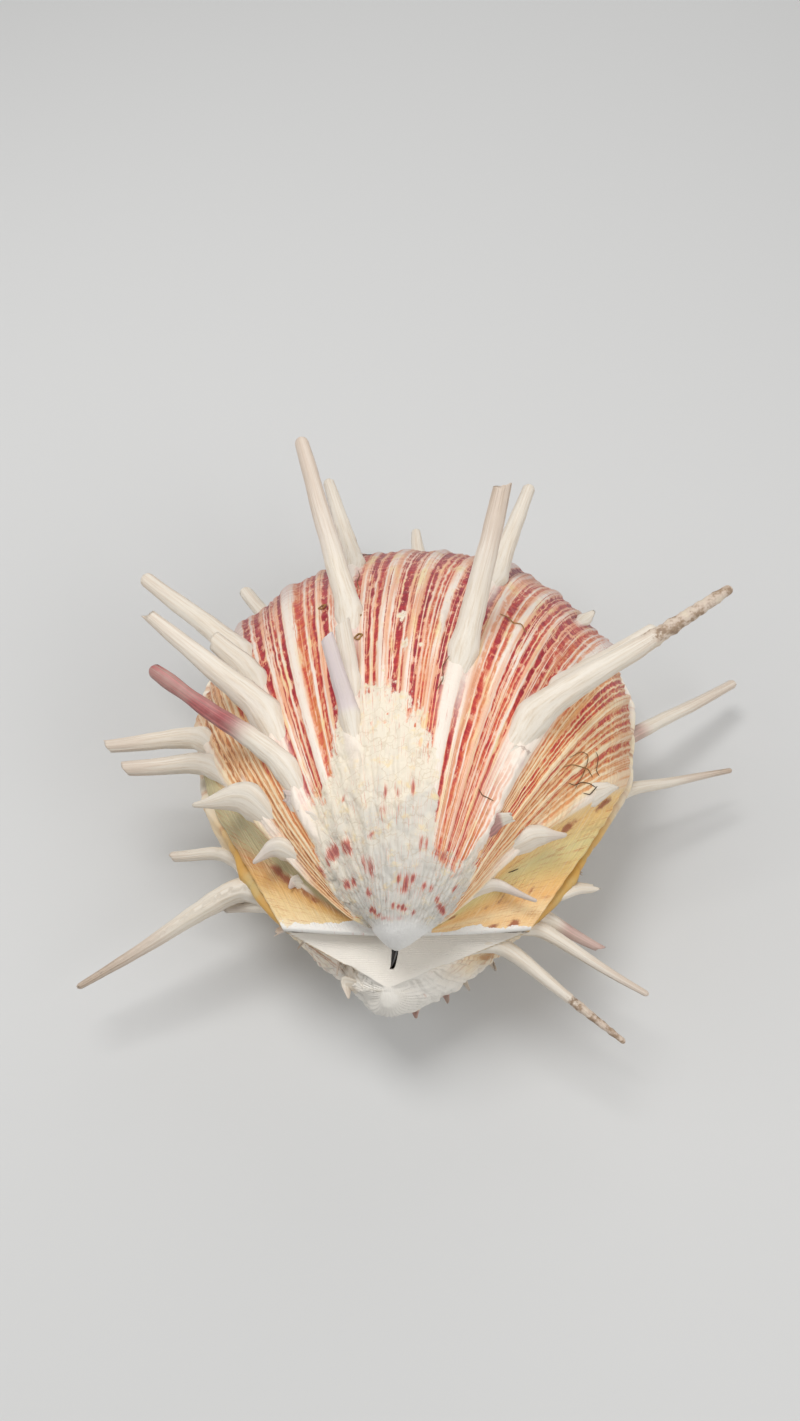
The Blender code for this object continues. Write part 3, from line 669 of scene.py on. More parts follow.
def buildUpperValve():
    settings = upperValve
    columns = ribColumns(settings["stripes"], -48, 56, 0.55, 1.3)
    ages = np.linspace(form["smallestUpper"], 1, settings["rows"])
    rib, growth = np.meshgrid(columns, ages, indexing="ij")
    points = upperSurface(rib, growth)
    calm = 1 - smoothStep(np.abs(rib), 84, 89)
    rows = list(upperSpines.values()) + list(upperScales.values())
    swelling, bare = buttresses(rows, upperSurface, rib, growth)
    relief = upperRelief(rib, growth, points, swelling) * calm
    points = points + outward(upperSurface, 1, rib, growth) * relief[..., None]
    bm = bmesh.new()
    grownGrid(bm, points, {**upperFields(rib, growth), "bare": bare})
    border = [edge for edge in bm.edges if edge.is_boundary]
    border = stepBorder(bm, border, lambda co: Vector((co.x, co.y, min(co.z, 0.8))))
    border = stepBorder(bm, border, lambda co: towardsMiddle(co, 0.15, 0.3))
    border = stepBorder(bm, border, lambda co: towardsMiddle(co, 0.35, 0.0))
    bmesh.ops.edgeloop_fill(bm, edges=border)
    bmesh.ops.recalc_face_normals(bm, faces=bm.faces[:])
    print("upper valve:", len(columns), "columns,", len(bm.faces), "faces")
    return bm


# Lower valve: as above, with the ribs that the solids have and stripes that follow a plain rule
lowerValve = {
    "ribs": (
        (-69, 1.0, 2.6), (-55, 1.0, 2.5), (-36, 1.0, 2.5), (-19, 1.0, 2.5), (3, 1.0, 2.5),
        (22, 1.0, 2.5), (42, 1.1, 2.5), (54, 1.0, 2.5), (72, 1.0, 2.6),
    ),
    "stripes": tuple(
        (
            -73.0 + 2.9 * k + 0.7 * math.sin(2.3 * k),
            0.42 + 0.14 * math.sin(1.7 * k),
            0.75,
            0.45 + 0.4 * math.sin(k),
        )
        for k in range(51)
    ),
    "grooveDepth": 0.3,
    "rows": 170,
    # Columns of the triangle, and the closer ones of its slit by share of the width
    "triangleColumns": 46,
    "slitColumns": (0.425, 0.505, 34),
    # Corner beside the beak: smoothing passes, growth it ends at, and how many columns it takes
    "corner": {"passes": 60, "age": 0.42, "shell": 16, "triangle": 14, "narrowing": 2.2},
    # Folds that turn about the beak, and the fuller belly, in the terms of the ribs
    "swirl": ((-24, -0.55, 7), (-8, 0.3, 6)),
    "belly": ((52, 1.5, 20),),
    "rusty": (
        (60, 0.43, 4, 0.05, 1.0), (-60, 0.5, 5, 0.07, 0.7), (-66, 0.42, 5, 0.06, 0.8),
        (-63, 0.82, 4, 0.03, 0.5),
    ),
    "slit": {"middle": (-1.7, -2.5), "ages": (0.98, 0.36), "half": (0.72, 0.34), "depth": 2.6},
}


def lowerRelief(rib, growth, points, swelling):
    young = 0.2 + 0.8 * growth
    relief = ridges(lowerValve["ribs"], rib) * young * smoothStep(growth, 0.08, 0.3)
    relief = np.hypot(relief, swelling)
    grooves = stripeMask(lowerValve["stripes"], rib) * lowerValve["grooveDepth"]
    relief = relief - grooves * young * smoothStep(growth, 0.12, 0.35)
    swirl = 0.06 * np.sin(rib * 1.3) + ridges(lowerValve["swirl"], rib)
    relief = relief + swirl * smoothStep(growth, 0.03, 0.07) * (1 - smoothStep(growth, 0.16, 0.3))
    grownUp = smoothStep(growth, 0.05, 0.2)
    belly = ridges(lowerValve["belly"], rib) * grownUp * (1 - smoothStep(growth, 0.6, 0.95))
    leafy = (1 - smoothStep(growth, 0.45, 0.7)) * smoothStep(growth, 0.04, 0.12)
    rings = grownNoise(rib, growth, 0.015, 55, 14)
    ripples = surfaceNoise(points, 0.16, 16)
    relief = relief + ((0.10 + 0.30 * leafy) * rings + 0.3 * ripples) * grownUp
    level, edge = plates(points, 0.22, 13)
    return relief + belly + leafy * (0.3 * level - 0.2 * (1 - smoothStep(edge, 0, 0.15)))


def lowerFields(rib, growth):
    return {
        "rib": rib,
        "growth": growth,
        "white": 1 - smoothStep(growth, 0.2, 0.42),
        "flank": smoothStep(np.abs(rib), 50, 66) * (0.35 + 0.65 * smoothStep(growth, 0.45, 0.65)),
        "rusty": spots(lowerValve["rusty"], rib, growth),
        "triangle": np.zeros_like(rib),
        "slit": np.zeros_like(rib),
    }


# The two hinge edges of the lower valve
def hingeEdges(growth):
    return (lowerSurface(np.full_like(growth, rib), growth) for rib in (-90.0, 90.0))


# How far the triangle sags between them
def triangleSag(share, growth):
    return 0.35 * np.sin(np.pi * share) * growth


# The flat triangle under the hinge, with the slit for the ligament
def trianglePoints(share, growth):
    left, right = hingeEdges(growth)
    points = left + (right - left) * share[..., None]
    slit = lowerValve["slit"]
    young, old = slit["ages"][1], slit["ages"][0]
    course = np.clip((growth - young) / (old - young), 0, 1)
    middle = slit["middle"][1] + (slit["middle"][0] - slit["middle"][1]) * np.sqrt(course)
    half = slit["half"][1] + (slit["half"][0] - slit["half"][1]) * course
    inside = 1 - smoothStep(np.abs(points[..., 0] - middle) / half, 0.8, 1.25)
    inside = inside * smoothStep(growth, young - 0.03, young + 0.02)
    lines = 0.03 * np.sin(growth * 190 + 3 * share) * smoothStep(growth, 0.05, 0.2)
    depth = triangleSag(share, growth) - lines + slit["depth"] * inside
    ends = smoothStep(share, 0, 0.03) * (1 - smoothStep(share, 0.97, 1))
    return points - form["triangleFace"] * (depth * ends)[..., None], inside


# Smooth the corner between the shell and the triangle, beside the beak
def roundCorner(bm, sheets, ages):
    corner = lowerValve["corner"]
    verts = set()
    for placed, last, columns in sheets:
        for vert, (i, j) in placed.items():
            reach = columns * (1 - corner["narrowing"] * ages[j])
            if vert.is_valid and ages[j] < corner["age"] and min(i, last - i) < reach:
                verts.add(vert)
    axes = {"use_axis_x": True, "use_axis_y": True, "use_axis_z": True}
    for _ in range(corner["passes"]):
        bmesh.ops.smooth_vert(bm, verts=list(verts), factor=0.5, **axes)


def buildLowerValve():
    settings = lowerValve
    columns = ribColumns(settings["stripes"], -74, 74, 0.6, 1.2)
    rows = np.linspace(form["smallestLower"], 1, settings["rows"])
    rib, growth = np.meshgrid(columns, rows, indexing="ij")
    points = lowerSurface(rib, growth)
    calm = 1 - smoothStep(np.abs(rib), 82, 89)
    spined = list(lowerSpines.values()) + list(lowerScales.values())
    swelling, bare = buttresses(spined, lowerSurface, rib, growth)
    relief = lowerRelief(rib, growth, points, swelling) * calm
    points = points + outward(lowerSurface, -1, rib, growth) * relief[..., None]
    bm = bmesh.new()
    sheet = grownGrid(bm, points, {**lowerFields(rib, growth), "bare": bare})
    wide = np.linspace(0, 1, settings["triangleColumns"])
    close = np.linspace(*settings["slitColumns"])
    shares = np.unique(np.concatenate((wide[(wide < close[0] - 0.001) | (wide > close[-1] + 0.001)], close)))
    share, age = np.meshgrid(shares, rows, indexing="ij")
    flat, slit = trianglePoints(share, age)
    fields = lowerFields(share * 180 - 90, age)
    fields["triangle"] = np.ones_like(share)
    fields["slit"] = slit
    fields["bare"] = np.zeros_like(share)
    triangle = grownGrid(bm, flat, fields)
    corner = settings["corner"]
    sheets = ((sheet, len(columns) - 1, corner["shell"]), (triangle, len(shares) - 1, corner["triangle"]))
    joined = [v for placed, last, _ in sheets for v, (i, _) in placed.items() if i in (0, last)]
    bmesh.ops.remove_doubles(bm, verts=joined, dist=0.002)
    roundCorner(bm, sheets, rows)
    tip = [v for v in bm.verts if v.is_boundary and (v.co - Vector(form["beak"])).length < 4]
    cap = [e for e in bm.edges if e.is_boundary and all(v in tip for v in e.verts)]
    bmesh.ops.edgeloop_fill(bm, edges=cap)
    border = [edge for edge in bm.edges if edge.is_boundary]
    border = stepBorder(bm, border, lambda co: Vector((co.x, co.y, max(co.z, -1.1))))
    border = stepBorder(bm, border, lambda co: towardsMiddle(co, 0.25, -0.65))
    border = stepBorder(bm, border, lambda co: towardsMiddle(co, 0.6, -0.35))
    border = stepBorder(bm, border, lambda co: towardsMiddle(co, 1.0, -0.3))
    bmesh.ops.edgeloop_fill(bm, edges=border)
    bmesh.ops.recalc_face_normals(bm, faces=bm.faces[:])
    bm.transform(toRow)
    everything = bm.verts[:] + bm.edges[:] + bm.faces[:]
    bmesh.ops.bisect_plane(bm, geom=everything, plane_co=(0, 0, 0), plane_no=(0, 0, 1), clear_inner=True)
    cut = [edge for edge in bm.edges if edge.is_boundary]
    bmesh.ops.edgeloop_fill(bm, edges=cut)
    bmesh.ops.recalc_face_normals(bm, faces=bm.faces[:])
    bm.transform(toRow.inverted())
    print("lower valve:", len(columns), "columns,", len(bm.faces), "faces")
    return bm


# Middle line and radii of a spine: it rises out of its rib, then leaves it and bends into its heading
def spineCourse(surface, sign, row):
    rib, growth, heading, rise, length, foot, tip = row[:7]
    root, along, normal = rootFrame(surface, sign, rib, growth)
    h, r = math.radians(heading), math.radians(rise)
    direction = np.array((math.sin(h) * math.cos(r), math.cos(h) * math.cos(r), math.sin(r)))
    end = root + direction * length
    start = root + normal * foot * spineForm["ride"]
    leave = start + (along * 0.8 + normal * 0.1 + direction * 0.5) * foot * spineForm["leave"]
    bend = root + direction * length * 0.36
    places, radii, shares = [], [], []
    lead = min(spineForm["lead"] * foot, 0.9 * length + 1)
    back = min(lead / growthSpeed(surface, rib, growth), growth - 0.08)
    for k in range(9):
        t = k / 9
        age = growth - back * (1 - t)
        _, _, lift = rootFrame(surface, sign, rib, age)
        height = foot * (spineForm["ride"] - 0.42 * (1 - t) ** 1.6)
        places.append(surfacePoint(surface, rib, age) + lift * height)
        radii.append(foot * (0.12 + 0.38 * t))
        shares.append(-1 + t)
    count = max(8, round(length / spineForm["step"]))
    for k in range(count + 1):
        u = k / count
        v = 1 - u
        places.append(start * v**3 + leave * 3 * v * v * u + bend * 3 * v * u * u + end * u**3)
        taper = 1 - u ** (spineForm["taper"] if row[8] < 0.4 else 0.9)
        radii.append((foot * taper + tip * (1 - taper)) / 2)
        shares.append(u)
    # Even steps, then a few passes that round the bend at the root
    places = np.array(places)
    run = np.concatenate(([0], np.cumsum(np.linalg.norm(np.diff(places, axis=0), axis=1))))
    steps = np.linspace(0, run[-1], max(14, round(run[-1] / spineForm["step"])))
    places = np.stack([np.interp(steps, run, places[:, k]) for k in range(3)], -1)
    radii, shares = np.interp(steps, run, radii), np.interp(steps, run, shares)
    for _ in range(round(min(spineForm["passes"], length * 1.5))):
        places[1:-1] = (places[:-2] + 2 * places[1:-1] + places[2:]) / 4
    return places, radii, shares, normal


def spineLump(look, share, reach, seed):
    lump = 1 + 0.06 * noise.noise(Vector((reach * 0.35, seed * 1.7, 3.3))) * smoothStep(share, 0, 0.2)
    if look == "crust":
        grit = noise.noise(Vector((reach * 1.1, seed, 1.1)))
        grit += 0.6 * noise.noise(Vector((reach * 2.6, seed, 4.4)))
        lump = lump * (1 + smoothStep(share, 0.70, 0.76) * (0.20 * grit - 0.02))
    if look == "knob":
        head = 0.12 * math.exp(-(((share - 0.95) / 0.05) ** 2))
        lump = lump * (1 + head - 0.08 * math.exp(-(((share - 0.85) / 0.07) ** 2)))
    return lump


# Rings of a spine about its course, with a slow wobble, fine striae and, if it is broken, a torn end
def spineRings(row, middle, radii, shares, tangent, normal, seed):
    length, look, flat = row[4], row[7], row[8]
    around = spineForm["around"]
    side = unit(np.cross(tangent[0], normal))
    grid = np.zeros((around + 1, len(middle), 3))
    angles = np.linspace(0, 2 * math.pi, around + 1)
    angles[-1] = 0.0
    for k, place in enumerate(middle):
        side = unit(side - tangent[k] * np.dot(side, tangent[k]))
        up = np.cross(side, tangent[k])
        reach = max(shares[k], 0) * length
        drift, sway = (noise.noise(Vector((reach * 0.09, seed * 3.1, layer))) for layer in (0.0, 7.7))
        free = smoothStep(shares[k], 0.1, 0.6) * spineForm["wobble"]
        centre = place + side * drift * free + up * sway * free
        radius = radii[k] * spineLump(look, shares[k], reach, seed)
        striae = spineForm["striae"] * smoothStep(shares[k], -0.6, 0.2)
        wide = 1 + flat + 0.18 * (1 - smoothStep(shares[k], 0.0, 0.25))
        for i, angle in enumerate(angles):
            stria = math.cos(9 * angle + seed + 0.04 * reach)
            stria += 0.7 * math.cos(15 * angle - 0.03 * reach + 2 * seed)
            out = radius * (1 + striae * stria)
            grid[i, k] = centre + side * math.cos(angle) * out * wide
            grid[i, k] += up * math.sin(angle) * out * (1 - flat)
    if look in brokenLooks:
        slope, facing = (1.5, seed) if look == "slant" else (0.55, 0)
        torn = spineForm["jag"] * (4 if flat > 0.3 else 1)
        for i, angle in enumerate(angles):
            jag = noise.noise(Vector((math.cos(angle) * 1.6, math.sin(angle) * 1.6, seed * 2.3)))
            shift = radii[-1] * (slope * (math.cos(angle + facing) - 1) + torn * jag - 0.4)
            for back, part in ((1, 1.0), (2, 0.7), (3, 0.4)):
                grid[i, -back] += tangent[-1] * shift * part
    return grid


# Shrinking rings draw in the end of a spine: a broken end is hollow and the others are domed
# Known flaw: both borders lack the edge that closeTube rebuilds, so the root stays open
# and the tip keeps a small opening with a slit
def closeTip(bm, ring, centre, ahead, radius, look):
    core = bm.verts.layers.float["core"]
    kind = "broken" if look in brokenLooks else look
    reached, width = 0.0, 1.0
    for shrink, advance in spineForm["ends"].get(kind, spineForm["ends"]["round"]):
        onward = ahead * (advance * radius - reached)
        ring = stepBorder(bm, ring, lambda co: centre + onward + (co - centre) * (shrink / width))
        centre = centre + onward
        reached, width = advance * radius, shrink
        if kind == "broken":
            for vert in {v for edge in ring for v in edge.verts}:
                vert[core] = 1.0 if shrink < 0.7 else 0.3
    bmesh.ops.edgeloop_fill(bm, edges=ring)


def growSpine(bm, surface, sign, row, seed):
    length, look, _, pink, brown, lilac = row[4], *row[7:]
    middle, radii, shares, normal = spineCourse(surface, sign, row)
    tangent = unit(np.gradient(middle, axis=0))
    grid = spineRings(row, middle, radii, shares, tangent, normal, seed)
    around, last = spineForm["around"], len(middle) - 1
    share = np.broadcast_to(shares, (around + 1, last + 1))
    pinkPart = smoothStep(share, 0.44, 0.66) if pink > 0 else 1 - smoothStep(share, 0.36, 0.5)
    fields = {
        "around": np.broadcast_to((np.arange(around + 1) / around)[:, None], share.shape),
        "reach": share * length,
        "pink": abs(pink) * pinkPart,
        "soil": brown * smoothStep(share, 0.5, 1.0),
        "crust": smoothStep(share, 0.66, 0.9) * (look == "crust"),
        "lilac": lilac * smoothStep(share, 0.0, 0.25),
        "core": np.zeros_like(share),
    }
    placed = grownGrid(bm, grid, fields)
    rings = [[v for v, (_, j) in placed.items() if j == end] for end in (0, last)]
    borders = [{e for v in ring for e in v.link_edges if all(w in ring for w in e.verts)} for ring in rings]
    closeTube(bm, placed, around)
    rootEdges, tipEdges = ([e for e in border if e.is_valid] for border in borders)
    bmesh.ops.edgeloop_fill(bm, edges=rootEdges)
    centre = Vector(middle[-1])
    if look in brokenLooks:
        kept = [v.co for v in rings[1] if v.is_valid]
        centre = sum(kept, Vector()) / len(kept)
    closeTip(bm, tipEdges, centre, Vector(tangent[-1]), radii[-1], look)


def buildSpines(rows, surface, sign, name):
    bm = bmesh.new()
    for seed, row in enumerate(rows.values()):
        growSpine(bm, surface, sign, row, seed + 1)
    bmesh.ops.recalc_face_normals(bm, faces=bm.faces[:])
    print(name + ":", len(rows), "spines,", len(bm.faces), "faces")
    return bm


# Dried threads and small worm tubes on the upper valve: radius, tone from 0 dark to 1 tan,
# and the course by rib and growth
threadForm = {"around": 8, "lift": 0.12, "steps": 40}
upperThreads = (
    (0.13, 0.7, ((43.0, 0.575), (44.2, 0.62), (46, 0.67), (47.5, 0.72), (49.5, 0.76))),
    (0.12, 0.1, ((47, 0.62), (48.5, 0.66), (49, 0.70), (50.2, 0.75), (51.5, 0.79))),
    (0.10, 0.4, ((42.5, 0.60), (43.5, 0.66), (45, 0.70), (47.5, 0.70), (49.2, 0.67))),
    (0.12, 0.0, ((51, 0.72), (52, 0.76), (51.2, 0.80), (52.5, 0.84))),
    (0.10, 0.2, ((45.5, 0.74), (47, 0.77), (48.8, 0.775), (50, 0.80))),
    (0.16, 0.9, ((18.5, 0.655), (19.8, 0.66), (21.0, 0.652), (22.2, 0.66), (23.4, 0.65))),
    (0.14, 0.0, ((-7.4, 0.975), (-6.2, 0.955), (-5.0, 0.94), (-4.0, 0.948))),
    (0.10, 0.5, ((-5.0, 0.80), (-4.6, 0.77), (-4.9, 0.74), (-4.4, 0.71))),
    (0.11, 0.0, ((60.3, 0.50), (61.0, 0.53), (61.6, 0.57))),
    (0.10, 0.3, ((13.0, 0.50), (12.0, 0.475), (12.6, 0.45), (11.8, 0.43))),
    (0.10, 0.3, ((31.5, 0.33), (29.8, 0.325), (28.2, 0.32), (26.5, 0.322))),
    (0.22, 0.9, ((-11.6, 0.716), (-10.9, 0.722), (-10.2, 0.716), (-10.9, 0.709), (-11.6, 0.716))),
    (0.22, 0.7, ((-5.2, 0.617), (-4.4, 0.623), (-3.6, 0.617), (-4.4, 0.610), (-5.2, 0.617))),
    (0.24, 0.8, ((-4.9, 0.563), (-4.1, 0.570), (-3.2, 0.563), (-4.1, 0.556), (-4.9, 0.563))),
)


def buildThreads():
    bm = bmesh.new()
    around, count = threadForm["around"], threadForm["steps"]
    angles = np.linspace(0, 2 * math.pi, around + 1)
    for radius, shade, course in upperThreads:
        rows = np.array(course)
        steps = np.linspace(0, 1, count)
        knots = np.linspace(0, 1, len(rows))
        rib, age = np.interp(steps, knots, rows[:, 0]), np.interp(steps, knots, rows[:, 1])
        rise = ridges(upperValve["ribs"], rib) * (0.2 + 0.8 * age) + threadForm["lift"]
        normal = outward(upperSurface, 1, rib, age)
        middle = upperSurface(rib, age) + normal * rise[:, None]
        for _ in range(3):
            middle[1:-1] = (middle[:-2] + middle[1:-1] * 2 + middle[2:]) / 4
        tangent = unit(np.gradient(middle, axis=0))
        side = unit(np.cross(tangent, normal))
        up = np.cross(side, tangent)
        thick = 0.8 * radius * (0.35 + 0.65 * np.sin(np.pi * steps) ** 0.4)
        turn = np.cos(angles)[:, None, None] * side[None] + np.sin(angles)[:, None, None] * up[None]
        turn[-1] = turn[0]
        grid = middle[None] + turn * thick[None, :, None]
        placed = grownGrid(bm, grid, {"tone": np.full(grid.shape[:2], shade)})
        closeTube(bm, placed, around)
    bmesh.ops.holes_fill(bm, edges=[e for e in bm.edges if e.is_boundary], sides=0)
    bmesh.ops.recalc_face_normals(bm, faces=bm.faces[:])
    print("threads:", len(upperThreads), "courses,", len(bm.faces), "faces")
    return bm


# Stripes of a valve as colour ramps over the rib angle, six stripes to a ramp
# Red carries the strength of a stripe and green its hue
def stripeRamps(shader, rib, stripes):
    total = None
    rows = sorted(stripes)
    for k in range(0, len(rows), 6):
        group = rows[k : k + 6]
        low = group[0][0] - group[0][1] - 0.5
        high = group[-1][0] + group[-1][1] + 0.5
        gaps = [1, *(b[0] - b[1] - a[0] - a[1] for a, b in zip(group, group[1:])), 1]
        stops = [(0.0, (0, 0, 0, 1)), (1.0, (0, 0, 0, 1))]
        for place, (centre, half, strength, hue) in enumerate(group):
            before, after = (min(0.24, 0.45 * gap) for gap in gaps[place : place + 2])
            inner = 0.65 * half
            corners = ((-half - before, 0), (-inner, strength), (inner, strength), (half + after, 0))
            for edge, level in corners:
                stops.append(((centre + edge - low) / (high - low), (level, hue, 0, 1)))
        colours = shader.ramp(shader.remap(rib, low, high, smooth=False), stops)
        total = colours if total is None else shader.blend(1.0, total, colours, "ADD")
    parts = shader.node("SeparateColor", {}, {0: total}).outputs
    return parts[0], parts[1]


upperFinish = {
    "stripe": (
        (0.0, "8f1f2f"), (0.2, "b02f38"), (0.4, "cf5540"), (0.6, "d9864e"), (0.8, "b5713f"), (1.0, "a5633c"),
    ),
    # The olive-grey stops at -59 and -52 of the left ramp are painted shade with a painted blue reflection,
    # laid over the flank's own cream and ochre
    "left": (
        (-90, "efe3c8"), (-84, "ecd2a0"), (-76, "e6c78e"), (-69, "d9a860"), (-63, "b88a58"),
        (-59, "b3a67c"), (-52, "bfb48c"), (-46, "dccb98"),
    ),
    "right": (
        (52, "f2d398"), (57, "e9c07c"), (62, "d8c88c"), (66, "dec480"), (71, "ecc07a"), (75, "efbb76"),
        (80, "f3d4a0"), (85, "f1c78c"), (90, "efcd9a"),
    ),
    "pale": "f5e8da",
    "blush": "efb896",
    "cream": "f4d99c",
    "ochre": "ebb47c",
    "oat": "f8e2bc",
    "halo": "e9a27c",
    "amber": "e5a56b",
    "mauve": "a07582",
    "chalk": "eee3cf",
    "grey": "d6d2c9",
    # The seam colour is painted shade, used in the cracks of the chalky middle
    "seam": "b99b6d",
    "blotch": "9a222e",
    "rust": "d0684f",
    "rose": "dba3a6",
    "white": "e9e7e3",
    "streak": "b5622f",
    "stain": "96482a",
    "strip": "eeebe5",
}


# A ramp over the rib angle, its stops written in degrees
def ribRamp(shader, rib, stops):
    low, high = stops[0][0], stops[-1][0]
    rows = [((place - low) / (high - low), tone(code)) for place, code in stops]
    return shader.ramp(shader.remap(rib, low, high, smooth=False), rows)


def upperMaterial():
    look = {key: tone(code) for key, code in upperFinish.items() if isinstance(code, str)}
    s = Shader("upper valve shell", 0.42, 0.4, 0.05)
    rib, growth = s.field("rib"), s.field("growth")
    flank, crest = s.field("flank"), s.field("crest")
    point = s.objectPoint()

    def grown(across, along, detail=2, rough=0.5, layer=0.0):
        place = s.vector(s.times(rib, across), s.times(growth, along), layer)
        return s.cloud(place, 1.0, detail, rough)

    breaks = grown(0.8, 11, 3, 0.6)
    rings = grown(0.06, 105, 3, 0.7)
    dashes = grown(1.2, 40, 3, 0.6, 3.0)
    lines = grown(6.0, 8)
    threads = grown(2.1, 1.3, 2, 0.5, 13.0)
    rough = s.cloud(point, 420, 5, 0.62)
    grain = s.cloud(point, 1900, 3, 0.6)

    # Ground between the stripes: pink and cream in the middle, ochre on the flanks
    inner = s.blend(s.remap(grown(1.1, 4), 0.40, 0.62), look["pale"], look["blush"])
    inner = s.blend(s.remap(grown(0.5, 12, layer=5.0), 0.50, 0.70, 0.0, 0.8), inner, look["cream"])
    inner = s.blend(s.remap(crest, 0.35, 0.8), inner, look["pale"])
    outer = s.blend(s.remap(grown(1.1, 4, layer=2.0), 0.46, 0.72), look["oat"], look["ochre"])
    ground = s.blend(flank, inner, outer)

    # Stripes, thinned along their length, with hair lines between them and a soft halo
    swayed = s.frayed(rib, grown(0.35, 26), 0.16, 0.25, 0.75)
    share, hue = stripeRamps(s, swayed, upperValve["stripes"])
    for cloud, low, high, least in (
        (breaks, 0.30, 0.46, 0.30), (rings, 0.34, 0.52, 0.80), (dashes, 0.36, 0.50, 0.42),
        (lines, 0.25, 0.55, 0.82), (threads, 0.36, 0.46, 0.25),
    ):
        share = s.times(share, s.remap(cloud, low, high, least, 1.0))
    hair = s.remap(grown(3.3, 2.2, 2, 0.5, 17.0), 0.56, 0.64, 0, 0.6)
    hair = s.times(hair, s.remap(crest, 0.35, 0.8, 1.0, 0.15))
    hair = s.times(hair, s.remap(flank, 0, 1, 1.0, 0.7))
    share = s.number("MAXIMUM", share, s.times(hair, s.remap(rings, 0.34, 0.5, 0.5, 1.0)))
    drift = s.plus(hue, s.remap(breaks, 0.3, 0.7, 0.28, -0.1, False))
    drift = s.plus(drift, s.remap(rings, 0.4, 0.65, 0.1, -0.12, False))
    drift = s.plus(drift, s.remap(growth, 0.3, 0.62, 0.16, 0.0))
    stripe = s.ramp(drift, [(place, tone(code)) for place, code in upperFinish["stripe"]])
    halo = s.blend(flank, look["halo"], look["amber"])
    colour = s.blend(s.remap(share, 0.0, 0.42, 0, 0.85), ground, halo)
    colour = s.blend(s.remap(share, 0.28, 0.78), colour, stripe)
    late = s.remap(s.frayed(growth, rings, 0.07), 0.76, 0.98)
    late = s.times(late, s.remap(flank, 0, 1, 0.5, 0.35))
    colour = s.blend(late, colour, look["mauve"], "MULTIPLY")

    # Ears, their stains and the bare strip along the hinge; the left ramp carries painted shade on the flank
    left, right = (ribRamp(s, swayed, upperFinish[side]) for side in ("left", "right"))
    ear = s.blend(s.remap(rib, -1, 1), left, right)
    ear = s.blend(s.remap(grown(1.6, 7, 3, 0.6, 8.0), 0.52, 0.70, 0, 0.55), ear, look["streak"])
    ear = s.blend(s.remap(grown(0.1, 120, 2, 0.5, 8.0), 0.50, 0.70, 0, 0.35), ear, look["oat"])
    colour = s.blend(s.remap(s.field("ear"), 0.2, 0.8), colour, ear)
    stain = s.frayed(s.field("stain"), rough, 0.35)
    colour = s.blend(s.remap(stain, 0.3, 0.85, 0.0, 0.85), colour, look["stain"])
    strip = s.frayed(s.field("strip"), rough, 0.3)
    colour = s.blend(s.remap(strip, 0.46, 0.54), colour, look["strip"])

    # Worn chalky middle, with painted shade along its cracks, and grey towards the beak
    ragged = s.frayed(s.frayed(s.field("worn"), rough, 0.2, 0.25, 0.75), dashes, 0.14)
    chalky = s.times(s.remap(ragged, 0.44, 0.58), s.remap(s.field("dash"), 0.35, 0.6, 1.0, 0.0))
    chalk = s.blend(s.remap(growth, 0.16, 0.30), look["grey"], look["chalk"])
    greyish = s.remap(s.cloud(point, 150, 3, 0.6), 0.5, 0.6, 0, 0.6)
    chalk = s.blend(s.times(greyish, s.remap(growth, 0.36, 0.26)), chalk, look["grey"])
    # A net of distorted cells whose edges take the seam colour: painted shade in the cracks between the
    # flakes
    swirl = s.node("TexNoise", {}, {"Vector": point, "Scale": 300.0}).outputs["Color"]
    bend = {0: swirl, 1: (0.006, 0.006, 0.006), 2: point}
    bent = s.node("VectorMath", {"operation": "MULTIPLY_ADD"}, bend).outputs[0]
    cells = s.node("TexVoronoi", {"feature": "DISTANCE_TO_EDGE"}, {"Vector": bent, "Scale": 260.0})
    chalk = s.blend(s.remap(cells.outputs["Distance"], 0.0, 0.04, 0.28, 0.0), chalk, look["seam"])
    chalk = s.blend(s.remap(rough, 0.54, 0.72, 0, 0.6), chalk, look["cream"])
    streaky = s.remap(grown(2.2, 14, 3, 0.6, 4.0), 0.57, 0.68)
    streaky = s.times(streaky, s.remap(grown(0.2, 16, 2, 0.5, 6.0), 0.48, 0.6))
    chalk = s.blend(s.times(streaky, 0.5), chalk, look["blush"])
    colour = s.blend(chalky, colour, chalk)

    # Crimson blotches and faint red fibres near the beak, then the rosy and bare places
    fibres = grown(4.4, 22, 3, 0.65, 9.0)
    blotch = s.frayed(s.field("blotch"), fibres, 0.55)
    crimson = s.blend(s.remap(blotch, 0.55, 1.0), look["rust"], look["blotch"])
    colour = s.blend(s.remap(blotch, 0.22, 0.7, 0.0, 0.85), colour, crimson)
    faint = s.times(s.remap(fibres, 0.56, 0.66, 0, 0.55), s.remap(grown(0.25, 30, 2, 0.5, 11.0), 0.5, 0.62))
    faint = s.times(faint, s.remap(growth, 0.42, 0.36))
    faint = s.times(faint, s.remap(growth, 0.13, 0.16))
    colour = s.blend(faint, colour, look["rust"])
    rosy = s.frayed(s.field("rosy"), rough, 0.2)
    colour = s.blend(s.remap(rosy, 0.3, 0.9, 0, 0.8), colour, look["rose"])
    bare = s.times(s.field("bare"), s.remap(rough, 0.3, 0.6, 0.8, 1.0))
    colour = s.blend(bare, colour, look["pale"])
    colour = s.blend(s.remap(growth, 0.13, 0.10), colour, look["white"])

    fine = s.plus(s.times(lines, 0.5), s.times(grown(0.1, 260), 0.6))
    normal = s.bump(fine, 0.35, 0.00035)
    normal = s.bump(s.plus(rough, s.times(grain, 0.35)), 0.35, 0.0006, normal)
    return s.finish(colour, normal, s.remap(chalky, 0, 1, 0.40, 0.75, False))


